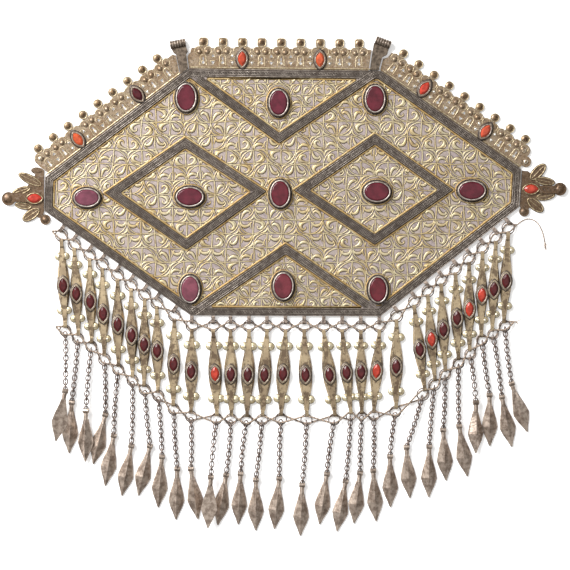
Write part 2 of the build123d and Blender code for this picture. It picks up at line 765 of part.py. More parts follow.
# Hangers
drop_body = drop()
gem_body = gem(spindle_gem, spindle_back + 2.0)
for side, members in (("left", left_hangers), ("middle", middle_hangers), ("right", right_hangers)):
    rows = [hangers[i] for i in members]
    write(f"spindles_{side}", solids([spindle_place(row) * spindle(row.half, reach_above(row)) for row in rows]))
    write(f"chains_{side}", solids([chain_tube(row) for row in rows]))
    write(f"drops_{side}", solids([place_drop(drop_body, row) for row in rows]))
dark = [row for i, row in enumerate(hangers) if i not in bright_stones]
bright = [hangers[i] for i in bright_stones]
write("spindle_stones_dark", solids([spindle_place(row) * gem_body for row in dark]))
write("spindle_stones_bright", solids([spindle_place(row) * gem_body for row in bright]))
upper_rings = [upper_ring(row) for row in hangers]
lower_rings = [lower_ring(row) for row in hangers]
write("rings_upper", solids([ring(*row) for row in upper_rings]))
write("rings_lower", solids([ring(*row) for row in lower_rings]))

# Lacing cords and the loose end
first, last = upper_rings[0][0], upper_rings[-1][0]
lead_in = (first[0] - 5.6, first[1] + 2.4, axis_z + 0.9)
lead_out = toward((*thread_end[0], thread_z), (*last, axis_z), 0.35)
write("lacing_upper", solids([lacing(upper_rings, lead_in, lead_out)]))
write("thread_end", solids([tube([(x, y, thread_z) for x, y in thread_end], thread_r)]))
first, last = lower_rings[0][0], lower_rings[-1][0]
lead_in = (first[0] - 5.6, first[1] + 2.4, axis_z + 0.9)
lead_out = (last[0] + 5.8, last[1] + 2.6, axis_z - 0.9)
write("lacing_lower", solids([lacing(lower_rings, lead_in, lead_out)]))
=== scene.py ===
import random
from collections import namedtuple
from math import atan2, ceil, copysign, cos, degrees, dist, hypot, pi, radians, sin

import bpy
from bpy.props import FloatProperty, FloatVectorProperty, PointerProperty
from bpy.types import Operator, Panel, PropertyGroup
from mathutils import Matrix, Vector


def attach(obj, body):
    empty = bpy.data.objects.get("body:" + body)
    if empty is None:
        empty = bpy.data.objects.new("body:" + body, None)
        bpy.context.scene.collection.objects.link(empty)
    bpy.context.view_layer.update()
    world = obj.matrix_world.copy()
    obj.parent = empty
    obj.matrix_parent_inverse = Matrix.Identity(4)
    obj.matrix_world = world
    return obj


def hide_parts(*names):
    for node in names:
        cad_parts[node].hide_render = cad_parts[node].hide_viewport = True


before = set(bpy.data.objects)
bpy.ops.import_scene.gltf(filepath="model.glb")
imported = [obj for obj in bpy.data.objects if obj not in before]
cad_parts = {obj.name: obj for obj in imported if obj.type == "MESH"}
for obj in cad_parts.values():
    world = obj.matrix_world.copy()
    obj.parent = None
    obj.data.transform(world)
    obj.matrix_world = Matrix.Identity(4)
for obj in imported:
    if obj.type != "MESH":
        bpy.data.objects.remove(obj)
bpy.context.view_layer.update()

bl_info = {
    "name": "Turkmen chest ornament",
    "version": (1, 0, 0),
    "blender": (4, 5, 0),
    "location": "3D View > Sidebar > Ornament",
    "description": "Dresses the chest ornament: scrollwork, wires, granules, chains, cords and finishes",
    "category": "Object",
}

# Places and sizes below are the part's own, in millimetres. A stroke's last number is its half width.
MM = 0.001
BODY = "root"

SHEET_TOP = 1.2
BAND_TOP = 2.1
BAND_W = 4.7
COLLET_TOP = 4.4
COLLET_WALL = 0.85
COLLET_FOOT = 0.6
CREST_TOP = 1.4
AXIS_Z = 1.8
SPINDLE_BACK = 0.4

PLATE = [
    (-142.6, 8.8),
    (-143.0, -11.4),
    (-55.2, -74.1),
    (58.4, -74.6),
    (141.6, -9.0),
    (142.9, 13.6),
    (58.8, 72.6),
    (-56.7, 73.9),
]
UPPER_VEE = [(-2.2, 32.2), (54.9, 71.0), (-55.1, 71.0)]
LOWER_VEE = [(-53.8, -72.25), (57.0, -72.25), (1.6, -34.3)]
LEFT_LOZENGE = [(-58.6, 32.2), (-106.3, -0.6), (-57.9, -34.3), (-10.2, 0.3)]
RIGHT_LOZENGE = [(55.2, 34.6), (7.0, 1.0), (55.0, -31.4), (101.7, 1.2)]

# Fields of the plate: their outline, and where their ground starts inside and ends outside it
Field = namedtuple("Field", "name corners inside outside")
FIELDS = [
    Field("top", UPPER_VEE, BAND_W / 2, BAND_W / 2),
    Field("bottom", LOWER_VEE, BAND_W / 2, BAND_W / 2),
    Field("lozenge_left", LEFT_LOZENGE, BAND_W, 0.0),
    Field("lozenge_right", RIGHT_LOZENGE, BAND_W, 0.0),
]

Stone = namedtuple("Stone", "name x y width height colour")
MAIN_STONES = [
    Stone("stone_top_left", -57.9, 56.4, 10.7, 15.4, (84, 27, 38)),
    Stone("stone_top_middle", -2.6, 53.3, 10.2, 14.4, (86, 27, 41)),
    Stone("stone_top_right", 55.2, 55.6, 10.5, 15.0, (84, 25, 36)),
    # This stone's lighter mauve colour is partly its own tone, partly a painted sheen.
    Stone("stone_left", -117.4, -3.6, 14.2, 9.6, (106, 56, 70)),
    Stone("stone_lozenge_left", -55.8, -3.0, 14.9, 10.2, (84, 28, 40)),
    Stone("stone_centre", -1.7, -1.2, 10.5, 14.8, (88, 27, 37)),
    Stone("stone_lozenge_right", 56.3, 0.0, 14.5, 10.8, (84, 25, 36)),
    Stone("stone_right", 113.1, 0.7, 15.0, 10.2, (82, 25, 36)),
    # This stone's lighter mauve colour is partly its own tone, partly a painted sheen.
    Stone("stone_bottom_left", -55.6, -58.4, 10.2, 14.8, (110, 58, 70)),
    Stone("stone_bottom_middle", 0.2, -56.5, 10.7, 14.8, (96, 36, 44)),
    Stone("stone_bottom_right", 56.9, -58.6, 9.9, 14.4, (86, 25, 33)),
]

# Crests: the start and end of their rim edge, the first knob, the knobs' length, round lobes
Crest = namedtuple("Crest", "name start end first length lobes square")
CRESTS = [
    Crest("crest_left", PLATE[0], PLATE[7], 7.1, 89.4, [(4.6, 10.5)], False),
    Crest("crest_top", PLATE[7], PLATE[6], 8.8, 93.4, [], True),
    Crest("crest_right", PLATE[6], PLATE[5], 5.1, 89.3, [(97.6, 10.0), (102.3, 5.2)], False),
]
CREST_KNOBS = 9
CREST_STONE_KNOBS = (2, 6)
CREST_STONE_Y = 6.2
KNOB_Y = 16.2
KEYHOLE_Y = 3.9
SHOULDER = (2.9, 11.1)  # beside a knob's axis, and from the rim
BOSS = (2.35, 10.3)
CUSP_OUTLINES = ((7.9, 1.7, 90), (4.0, 1.85, 270))  # height, radius, turn of the two between knobs
STONE_DOTS = ((-5.8, 3.9), (5.8, 3.9), (-5.8, 8.0), (5.8, 8.0))  # round a crest's stone
CREST_GEM = (4.4, 2.5)
END_GEM = (4.3, 2.7)
END_GEM_PLACES = {"terminal_left": (-148.9, -3.9), "terminal_right": (148.6, 1.7)}
SPINDLE_GEM = (4.4, 2.45)

# Leaves of the end pieces: middle, length, width and turn
END_LEAVES = {
    "terminal_left": [
        (-151.5, 7.4, 16.0, 5.8, -26.6),
        (-156.8, 0.7, 12.0, 4.8, 18),
        (-155.7, -8.3, 10.5, 4.6, -10),
        (-150.9, -13.6, 12.5, 6.4, 34),
    ],
    "terminal_right": [
        (152.8, 11.9, 13.2, 6.6, 46),
        (157.0, 6.4, 12.5, 5.4, -10),
        (157.4, -2.5, 12.0, 5.4, 10),
        (151.2, -7.8, 12.5, 6.6, -40),
    ],
}

# Hanging loops: node, the tube's middle and turn. Then the tube's length, how far from its middle a
# wire ring may lie, the rings' number and radius, and the tube's height
LOOPS = (("hanging_loop_left", -63.0, 88.7, 10.6), ("hanging_loop_right", 60.0, 89.5, -20.0))
LOOP_TUBE = 9.5
LOOP_REACH = 4.5
LOOP_RINGS = 7
LOOP_RING_R = 2.12
LOOP_TUBE_Z = 2.55

GEM_COLOURS = {
    "crest_stone_left_low": (176, 76, 44),
    "crest_stone_left_high": (66, 18, 24),
    "crest_stone_top_left": (170, 64, 40),
    "crest_stone_top_right": (178, 80, 48),
    "crest_stone_right_high": (164, 54, 40),
    "crest_stone_right_low": (172, 70, 46),
    "terminal_stone_left": (164, 52, 40),
    "terminal_stone_right": (170, 60, 44),
    "spindle_stones_dark": (74, 22, 24),
    "spindle_stones_bright": (166, 54, 38),
}

# One row for each hanger, as in the part's own table
Hanger = namedtuple("Hanger", "x y lean half drop_x drop_y drop_lean lift roll bow loop")
HANGERS = [
    Hanger(-131.6, -56.2, 2.5, 3.7, -133.8, -137.9, -10.7, 3.4, 190, 0.5, 3.3),
    Hanger(-123.8, -61.0, 2.9, 3.7, -127.6, -145.2, -3.1, 0.0, 0, 0.4, 3.3),
    Hanger(-115.3, -65.7, 1.5, 3.65, -118.4, -150.1, -1.0, 1.6, -10, -0.5, 3.3),
    Hanger(-107.7, -73.2, 1.4, 3.6, -111.0, -152.0, -13.7, 0.0, 0, 0.4, 3.5),
    Hanger(-98.9, -79.5, 0.7, 3.8, -104.7, -164.8, -9.7, 0.0, 0, -0.6, 3.3),
    Hanger(-90.6, -86.0, 1.0, 3.6, -94.5, -170.9, -10.8, 0.0, 0, 0.5, 3.3),
    Hanger(-83.1, -91.5, -0.4, 3.55, -84.1, -170.9, -13.0, 0.0, 0, -0.4, 3.3),
    Hanger(-75.3, -95.2, 0.8, 3.7, -74.0, -177.7, -4.3, 0.0, 0, 0.4, 3.3),
    Hanger(-65.5, -103.2, -0.7, 3.9, -63.9, -185.0, -1.5, 0.0, 0, -0.5, 3.3),
    Hanger(-54.9, -107.6, -0.6, 4.1, -52.6, -184.8, 8.0, 0.0, 0, 0.5, 3.3),
    Hanger(-40.7, -109.0, 2.6, 4.1, -44.2, -189.7, -3.1, 3.4, 180, -0.4, 3.3),
    Hanger(-31.2, -109.3, 0.6, 4.1, -37.2, -188.4, -9.5, 0.0, 0, 0.6, 3.3),
    Hanger(-21.0, -109.6, -1.4, 4.2, -26.3, -187.9, -2.5, 0.0, 0, -0.5, 3.3),
    Hanger(-11.0, -109.6, -3.0, 4.2, -16.3, -191.5, 0.0, 0.0, 0, 0.4, 3.3),
    Hanger(0.1, -109.0, -3.1, 4.2, -4.1, -190.6, -5.4, 0.0, 0, -0.4, 3.3),
    Hanger(13.5, -109.6, 1.9, 4.2, 10.8, -194.6, -2.0, 0.0, 0, 0.5, 3.3),
    Hanger(27.9, -109.6, 7.8, 4.1, 23.6, -187.9, -8.1, 0.0, 0, -0.6, 3.3),
    Hanger(38.1, -108.2, 6.2, 3.6, 34.3, -192.1, -9.7, 0.0, 0, 0.5, 2.6),
    Hanger(46.9, -107.9, 0.7, 3.55, 43.9, -187.3, -6.7, 0.0, 0, -0.4, 2.55),
    Hanger(56.1, -107.3, -4.0, 3.8, 55.2, -186.0, 3.5, 0.0, 0, 0.4, 3.1),
    Hanger(67.9, -104.7, -0.3, 4.1, 64.3, -177.5, 0.5, 0.0, 0, -0.5, 3.3),
    Hanger(81.9, -94.4, 7.3, 3.6, 75.3, -172.0, 4.0, 0.0, 0, 0.6, 3.55),
    Hanger(89.0, -88.3, 5.0, 3.45, 87.5, -171.6, -0.4, 0.0, 0, -0.4, 3.5),
    Hanger(96.1, -82.5, 2.8, 3.6, 97.1, -161.6, 3.4, 0.0, 0, 0.5, 3.3),
    Hanger(104.3, -75.6, 2.0, 3.7, 108.7, -159.2, 9.5, 0.0, 0, -0.5, 3.3),
    Hanger(111.7, -70.3, 0.4, 3.6, 115.6, -145.1, 0.4, 1.6, 10, 0.4, 3.3),
    Hanger(119.2, -61.8, -0.9, 3.4, 123.9, -140.8, 0.5, 0.0, 0, -0.5, 3.2),
    Hanger(126.4, -58.4, -2.4, 3.35, 134.9, -141.5, 11.4, 0.0, 0, 0.4, 3.15),
    Hanger(133.6, -53.4, -2.7, 3.6, 142.9, -132.9, 18.1, 0.0, 0, -0.6, 3.3),
]
GROUPS = {"left": range(0, 9), "middle": range(9, 20), "right": range(20, 29)}
TOP_HOOK = 26.0
FOOT_HOOK = 23.7
RING_RANGE = (3.48, 3.65)
LACING_APART = 2.3  # how far each cord passes beside a ring's middle
LACING_LIFT = 0.8  # and how far above or below the rings' plane
CORD_FLOOR = 0.8  # the lowest that a twisted cord's middle lies
HOOKS = {"level": 2.6, "slanted": 2.9}
KNOB_ROWS = (17.2, -14.9)
SPINDLE_KNOB_X = 0.6  # shares of the spindle's half width
SPINDLE_KNOB_R = 0.46
LINK_HALF_LENGTH = 1.95
LINK_HALF_WIDTH = 1.32
STATIONS = [
    (23.4, 0.34, 2.0),
    (20.5, 0.44, 2.2),
    (17.2, 0.62, 2.3),
    (13.8, 0.60, 2.3),
    (9.0, 0.82, 2.4),
    (4.5, 0.97, 2.5),
    (0.0, 1.00, 2.5),
    (-4.5, 0.95, 2.5),
    (-9.0, 0.78, 2.4),
    (-12.6, 0.60, 2.3),
    (-14.9, 0.58, 2.3),
    (-18.0, 0.46, 2.2),
    (-21.4, 0.36, 2.0),
]
RIDGE_SHARE = 0.62
DROP_CUTS = [
    (-5.0, 1.5, 3.0),
    (-9.0, 2.45, 3.3),
    (-14.0, 3.9, 3.7),
    (-19.0, 4.85, 3.9),
    (-23.0, 3.6, 3.2),
    (-27.0, 1.75, 2.1),
    (-30.6, 0.3, 1.2),
]
DROP_EDGE = 0.9
FLANGE_SHARE = 0.84
DROP_MIDDLE = 19.0
RIDGE_REACH = range(-6, -31, -2)
RIB_REACH = range(-9, -27, -2)
RIBBED_DROPS = (2, 3, 4, 8, 16, 25, 27, 28)

# The loose end of the upper lacing, from its last ring to its frayed tip
THREAD_END = [
    (140.4, -19.6),
    (143.6, -16.8),
    (147.9, -15.9),
    (152.0, -17.6),
    (154.6, -21.4),
    (156.2, -25.9),
    (157.1, -30.6),
    (157.5, -34.6),
]
THREAD_Z = 0.45
THREAD_LAY = 0.2  # how far its strands lie from its middle
THREAD_STRAND = 0.22

# Where a cord starts and ends beside the first and last ring, and its frays: x, y, heading and count
LEAD_IN = (-5.6, 2.4, 0.9)
LEAD_OUT = (5.8, 2.6, -0.9)
THREAD_FRAY = (157.1, -30.6, -80, 5)
LOWER_FRAY = (10, 6)
FIBRE_POINTS = 7


def linear(rgb, share=1.0):
    """A colour of 0 to 255 as the eye sees it, as linear numbers for a shader."""
    return tuple(
        share * (c / 12.92 if c < 0.04045 else ((c + 0.055) / 1.055) ** 2.4)
        for c in (v / 255 for v in rgb)
    )


def colour_property(name, description, rgb):
    return FloatVectorProperty(
        name=name, description=description, subtype="COLOR", size=3, min=0, max=1, default=linear(rgb)
    )


def length_property(name, description, default):
    return FloatProperty(
        name=name, description=description, unit="LENGTH", min=0, precision=5, default=default
    )


class OrnamentSizes(PropertyGroup):
    scroll_tile: length_property("Scroll tile", "Side of one square of the scrollwork", 8.4 * MM)
    scroll_relief: FloatProperty(
        name="Scroll relief", description="Height of a scroll as a share of its half width", default=0.24
    )
    # The dark line round a scroll is partly oxide and partly a painted shadow of the raised scroll.
    scroll_edge: length_property("Scroll edge", "Width of the dark line round each scroll", 0.2 * MM)
    wire_pitch: length_property(
        "Wire pitch", "Distance between the turns of the twisted band wires", 0.95 * MM
    )
    link_pitch: length_property("Link pitch", "Distance between two links of a chain", 2.25 * MM)
    link_wire: length_property("Link wire", "Half thickness of the chains' wire", 0.38 * MM)
    strand: length_property("Strand", "Half thickness of one strand of a lacing cord", 0.35 * MM)


class OrnamentColours(PropertyGroup):
    silver: colour_property("Silver", "Engraved ground between the scrolls", (176, 162, 160))
    gilding: colour_property("Gilding", "Worn fire gilding", (206, 194, 160))
    warm_gilding: colour_property("Warm gilding", "Thicker gilding near the borders", (192, 168, 116))
    # This dark colour is oxide in spots and specks, and also the painted shade laid into recesses.
    tarnish_and_shade: colour_property("Tarnish", "Dark oxide in the recesses", (44, 36, 32))
    band: colour_property("Band", "Metal of the bands and wires", (118, 108, 100))
    drop: colour_property("Drop", "Worn silver of the drops", (192, 176, 162))
    chain: colour_property("Chain", "Silver of the chains and rings", (150, 134, 126))
    fibre: colour_property("Fibre", "Spun thread of the lacing", (168, 142, 116))


class OrnamentStage(PropertyGroup):
    camera_height: length_property("Camera height", "Height of the camera over the surface", 1.6)
    view_width: length_property("View width", "Width of what the camera sees", 0.342)
    key_power: FloatProperty(
        name="Key power", description="Power of the soft light at the upper left", default=52.0
    )
    fill_power: FloatProperty(
        name="Fill power", description="Power of the soft light overhead", default=2.5
    )
    surround: FloatProperty(name="Surround", description="Brightness of the pale surroundings", default=0.4)


FLOOR_GLOW = 0.35  # the floor is a lit table, so shadows on it stay faint

# Shaders


class Value:
    """A number in a shader, so that maths on it is written as an expression."""

    def __init__(self, finish, socket):
        self.finish = finish
        self.socket = socket

    def _math(self, operation, first, second=0.0):
        node = self.finish.node("ShaderNodeMath", {"operation": operation}, {0: first, 1: second})
        return Value(self.finish, node.outputs[0])

    def __add__(self, other):
        return self._math("ADD", self, other)

    def __radd__(self, other):
        return self._math("ADD", other, self)

    def __sub__(self, other):
        return self._math("SUBTRACT", self, other)

    def __rsub__(self, other):
        return self._math("SUBTRACT", other, self)

    def __mul__(self, other):
        return self._math("MULTIPLY", self, other)

    def __rmul__(self, other):
        return self._math("MULTIPLY", other, self)

    def __abs__(self):
        return self._math("ABSOLUTE", self)

    def at_least(self, other):
        return self._math("MAXIMUM", self, other)

    def step(self, low, high):
        """0 below low, 1 above high, and smooth between. With high below low it falls."""
        settings = {"interpolation_type": "SMOOTHSTEP", "clamp": True}
        node = self.finish.node(
            "ShaderNodeMapRange", settings, {"Value": self, "From Min": low, "From Max": high}
        )
        return Value(self.finish, node.outputs["Result"])


class Finish:
    """A material in the making."""

    def __init__(self, name):
        self.material = bpy.data.materials.new(name)
        self.material.use_nodes = True
        self.tree = self.material.node_tree
        self.tree.nodes.clear()
        self.spot = self.node("ShaderNodeTexCoord").outputs["Object"]
        split = self.node("ShaderNodeSeparateXYZ", {}, {0: self.spot})
        self.x, self.y, self.z = (Value(self, out) * (1 / MM) for out in split.outputs)

    def node(self, kind, settings=None, inputs=None):
        """Adds a node: its type, its settings, then the values or links of its sockets."""
        node = self.tree.nodes.new(kind)
        for key, value in (settings or {}).items():
            setattr(node, key, value)
        for key, value in (inputs or {}).items():
            socket = node.inputs[key]
            if isinstance(value, Value):
                self.tree.links.new(value.socket, socket)
            elif isinstance(value, bpy.types.NodeSocket):
                self.tree.links.new(value, socket)
            elif isinstance(value, tuple) and len(value) == 3 and socket.type == "RGBA":
                socket.default_value = (*value, 1)
            else:
                socket.default_value = value
        return node

    def stretched(self, x, y, z, turn=0.0):
        """Object coordinates turned about Z and stretched."""
        return self.node(
            "ShaderNodeMapping",
            {"vector_type": "TEXTURE"},
            {"Vector": self.spot, "Rotation": (0, 0, turn), "Scale": (x, y, z)},
        ).outputs[0]

    def noise(self, size, detail=3.0, roughness=0.6, vector=None):
        """Noise whose blotches are that many millimetres across, from 0 to 1."""
        inputs = {
            "Vector": vector or self.spot,
            "Scale": 1 / (size * MM),
            "Detail": detail,
            "Roughness": roughness,
        }
        return Value(self, self.node("ShaderNodeTexNoise", {}, inputs).outputs["Fac"])

    def recess_oxide_and_shade(self, reach, low=0.15, high=0.65):
        """1 in recesses that are narrower than reach, 0 in the open, from ambient occlusion: the mask for
        oxide with painted shade in the recesses.
        """
        node = self.node("ShaderNodeAmbientOcclusion", {"samples": 4}, {"Distance": reach * MM})
        return Value(self, node.outputs["AO"]).step(high, low)

    def mix(self, share, low, high):
        """A colour between two."""
        settings = {"data_type": "RGBA", "blend_type": "MIX"}
        node = self.node("ShaderNodeMix", settings)
        for key, value in ((0, share), (6, low), (7, high)):
            if isinstance(value, Value):
                self.tree.links.new(value.socket, node.inputs[key])
            elif isinstance(value, bpy.types.NodeSocket):
                self.tree.links.new(value, node.inputs[key])
            else:
                node.inputs[key].default_value = (*value, 1) if isinstance(value, tuple) else value
        return node.outputs[2]

    def close(self, colour, roughness, metallic, relief=None, depth=0.05, **even):
        """Joins all to the shader. relief is the height for bump, and depth its size in millimetres."""
        inputs = {"Base Color": colour, "Roughness": roughness, "Metallic": metallic, **even}
        if relief is not None:
            inputs["Normal"] = self.node(
                "ShaderNodeBump", {}, {"Strength": 1.0, "Distance": depth * MM, "Height": relief}
            ).outputs[0]
        shader = self.node(
            "ShaderNodeBsdfPrincipled", {}, {k.replace("_", " "): v for k, v in inputs.items()}
        )
        self.node("ShaderNodeOutputMaterial", {}, {"Surface": shader.outputs[0]})
        return self.material


def below_rim(finish):
    """How far a place lies outside the plate's three lower edges, in millimetres."""
    far = None
    corners = PLATE[1:5]
    for start, end in zip(corners, corners[1:]):
        length = dist(start, end)
        a = (end[1] - start[1]) / length
        b = -(end[0] - start[0]) / length
        outside = finish.x * a + finish.y * b - (start[0] * a + start[1] * b)
        far = outside if far is None else far.at_least(outside)
    return far


def plate_finish(colours):
    """Engraved silver ground, dark bands, greyer collets and worn strap eyes, told apart by place."""
    finish = Finish("engraved_silver")
    silver, tarnish_and_shade = tuple(colours.silver), tuple(colours.tarnish_and_shade)
    hatch_lines = finish.noise(0.5, 1.0, 0.5, finish.stretched(1.0, 6.0, 1.0, radians(38)))
    hatch = hatch_lines.step(0.42, 0.62)
    cloud = finish.noise(22.0, 4.0)
    spots = finish.noise(1.7, 3.0, 0.7).step(0.6, 0.72)
    worn = finish.noise(6.0, 3.0).step(0.4, 0.65)
    ground = finish.mix(hatch * 0.5, silver, linear((128, 116, 114)))
    ground = finish.mix(spots * cloud.step(0.42, 0.62) * 0.75, ground, tarnish_and_shade)
    ground = finish.mix(worn * 0.35, ground, linear((206, 192, 168)))
    grain = finish.noise(0.6, 2.0)
    band = finish.mix(grain.step(0.3, 0.7), linear((56, 48, 44)), linear((96, 86, 78)))
    collet = finish.mix(
        finish.noise(1.6, 3.0).step(0.35, 0.65), linear((92, 84, 78)), linear((158, 148, 140))
    )
    eye = finish.mix(finish.noise(1.2, 3.0).step(0.35, 0.65), linear((96, 84, 76)), linear((172, 156, 144)))
    raised = finish.z.step(SHEET_TOP + 0.04, SHEET_TOP + 0.12)
    tall = finish.z.step(BAND_TOP + 0.03, BAND_TOP + 0.2)
    outside = below_rim(finish).step(0.1, 0.4)
    colour = finish.mix(raised, ground, band)
    colour = finish.mix(tall, colour, collet)
    colour = finish.mix(outside, colour, eye)
    # Oxide with painted shade: recesses darkened by ambient occlusion.
    colour = finish.mix(finish.recess_oxide_and_shade(1.0, 0.2, 0.7) * 0.5, colour, tarnish_and_shade)
    roughness = 0.4 + 0.12 * grain + 0.12 * raised
    return finish.close(colour, roughness, 0.72, hatch_lines, 0.05)


def gilding(name, light, warm, dark, thick=0.3, wear=0.4, blotch=2.4):
    """Fire gilding that is worn to silver in places, warmer where it is thick, dark in blotches, and
    darkened in the recesses by oxide with painted shade.
    """
    finish = Finish(name)
    light, warm, dark = (c if isinstance(c[0], float) else linear(c) for c in (light, warm, dark))
    patches = finish.noise(9.0, 4.0)
    fine = finish.noise(1.1, 3.0, 0.65)
    colour = finish.mix(patches.step(0.62 - thick, 0.82 - thick * 0.4), light, warm)
    colour = finish.mix(fine.step(0.5, 0.68) * wear, colour, linear((190, 178, 166)))
    stain = finish.noise(blotch, 4.0, 0.7).step(0.5, 0.66)
    colour = finish.mix(stain * 0.65, colour, dark)
    # Oxide with painted shade: recesses darkened by ambient occlusion.
    colour = finish.mix(finish.recess_oxide_and_shade(1.6) * 0.85, colour, linear((52, 40, 30)))
    return finish.close(colour, 0.34 + 0.16 * fine, 0.7, fine, 0.05)


def worn_metal(name, light, dark, blotch=2.2, recess_oxide_and_shade=1.4, roughness=0.36, relief=0.06, metallic=0.75):
    """Worn metal: light where it is rubbed, dark in blotches, and darkened in recesses by oxide with
    painted shade.
    """
    finish = Finish(name)
    light, dark = (c if isinstance(c[0], float) else linear(c) for c in (light, dark))
    tarnish_and_shade = tuple(colours().tarnish_and_shade)
    cloud = finish.noise(blotch, 4.0, 0.65)
    grain = finish.noise(0.5, 2.0)
    colour = finish.mix(cloud.step(0.36, 0.64), dark, light)
    colour = finish.mix(grain.step(0.62, 0.75) * 0.35, colour, tarnish_and_shade)
    # Oxide with painted shade: recesses darkened by ambient occlusion.
    colour = finish.mix(finish.recess_oxide_and_shade(recess_oxide_and_shade) * 0.85, colour, tarnish_and_shade)
    return finish.close(colour, roughness + 0.2 * (1 - cloud), metallic, grain + cloud, relief)


def dark_finish(name, rgb):
    finish = Finish(name)
    grain = finish.noise(0.8, 3.0)
    colour = finish.mix(grain, linear(rgb), linear(rgb, 1.9))
    return finish.close(colour, 0.6 + 0.2 * grain, 0.2, grain, 0.03)


def spindle_finish(colours):
    """Pale gilding with dark brown patches; painted shade makes it darker and browner where it lies low
    near the back, toward the ends, and oxide with painted shade darkens its recesses.
    """
    finish = Finish("spindle_gilding")
    patches = finish.noise(5.0, 4.0, 0.65)
    fine = finish.noise(0.9, 3.0)
    colour = finish.mix(
        finish.noise(12.0, 2.0).step(0.35, 0.65), linear((182, 163, 132)), linear((150, 131, 106))
    )
    colour = finish.mix(patches.step(0.48, 0.58) * 0.75, colour, linear((84, 66, 52)))
    colour = finish.mix(fine.step(0.58, 0.72) * 0.4, colour, linear((70, 56, 44)))
    # Painted shade: the parts lying low near the back plane are darkened by height.
    low = finish.z.step(1.2, 0.5)
    colour = finish.mix(low * 0.5, colour, linear((96, 80, 60)))
    # Oxide with painted shade: recesses darkened by ambient occlusion.
    colour = finish.mix(finish.recess_oxide_and_shade(1.5) * 0.8, colour, tuple(colours.tarnish_and_shade))
    return finish.close(colour, 0.34 + 0.2 * patches, 0.7, fine + patches, 0.08)


def gem_finish(name, rgb, flat=False):
    """Polished carnelian or garnet, cloudy inside, with a glassy surface."""
    finish = Finish(name)
    cloud = finish.noise(5.0 if flat else 2.4, 3.0, 0.55)
    veins = finish.noise(1.2, 3.0).step(0.55, 0.75)
    colour = finish.mix(cloud.step(0.3, 0.7), linear(rgb, 0.7), linear(rgb, 1.25))
    colour = finish.mix(veins * 0.25, colour, linear(rgb, 0.4))
    return finish.close(
        colour,
        0.22 + 0.1 * veins,
        0.0,
        cloud,
        0.03,
        Coat_Weight=0.12,
        Coat_Roughness=0.08,
        Specular_IOR_Level=0.25,
    )


def fibre_finish(name, rgb):
    """Spun thread, soiled in places."""
    finish = Finish(name)
    soil = finish.noise(3.0, 3.0).step(0.4, 0.65)
    fuzz = finish.noise(0.25, 2.0)
    colour = finish.mix(soil * 0.6, linear(rgb), linear((66, 50, 42)))
    colour = finish.mix(fuzz * 0.4, colour, linear((222, 208, 190)))
    return finish.close(colour, 0.85, 0.0, fuzz, 0.08, Sheen_Weight=0.25)


def floor_finish():
    finish = Finish("pale_paper")
    grain = finish.noise(0.4, 3.0)
    colour = finish.mix(grain, linear((250, 250, 250)), linear((255, 255, 255)))
    return finish.close(
        colour, 0.8 + 0.1 * grain, 0.0, grain, 0.01, Emission_Color=(
            1.0, 1.0, 1.0
        ), Emission_Strength=FLOOR_GLOW
    )


# Geometry nodes


class Weave:
    """A Geometry Nodes tree in the making. inputs has (name, socket type, default) rows."""

    def __init__(self, name, inputs):
        self.tree = bpy.data.node_groups.new(name, "GeometryNodeTree")
        new_socket = self.tree.interface.new_socket
        new_socket("Geometry", in_out="INPUT", socket_type="NodeSocketGeometry")
        for label, kind, default in inputs:
            socket = new_socket(label, in_out="INPUT", socket_type=kind)
            if default is not None:
                socket.default_value = default
        new_socket("Geometry", in_out="OUTPUT", socket_type="NodeSocketGeometry")
        self.given = self.tree.nodes.new("NodeGroupInput").outputs

    def add(self, kind, settings=None, inputs=None):
        """Adds a node and gives its first output that is switched on."""
        node = self.tree.nodes.new(kind)
        for key, value in (settings or {}).items():
            setattr(node, key, value)
        for key, value in (inputs or {}).items():
            for item in value if isinstance(value, list) else [value]:
                if isinstance(item, bpy.types.NodeSocket):
                    self.tree.links.new(item, node.inputs[key])
                else:
                    node.inputs[key].default_value = item
        return next(out for out in node.outputs if out.enabled)

    def math(self, operation, first, second=0.0):
        return self.add("ShaderNodeMath", {"operation": operation}, {0: first, 1: second})

    def vector(self, x=0.0, y=0.0, z=0.0):
        return self.add("ShaderNodeCombineXYZ", {}, {0: x, 1: y, 2: z})

    def dressed(self, geometry, material):
        """Real geometry with its material."""
        real = self.add("GeometryNodeRealizeInstances", {}, {0: geometry})
        return self.add("GeometryNodeSetMaterial", {}, {"Geometry": real, "Material": material})

    def close(self, geometry):
        self.tree.links.new(geometry, self.tree.nodes.new("NodeGroupOutput").inputs[0])
        return self.tree


def swept(weave, curve, sides, flatness=1.0):
    """A curve with a round or flattened section, as thick as the curve's own radius."""
    circle = weave.add(
        "GeometryNodeCurvePrimitiveCircle", {"mode": "RADIUS"}, {"Resolution": sides, "Radius": 1.0}
    )
    section = weave.add(
        "GeometryNodeTransform", {}, {"Geometry": circle, "Scale": weave.vector(1.0, flatness, 1.0)}
    )
    inputs = {
        "Curve": curve,
        "Profile Curve": section,
        "Scale": weave.add("GeometryNodeInputRadius"),
        "Fill Caps": True,
    }
    return weave.add("GeometryNodeCurveToMesh", {}, inputs)


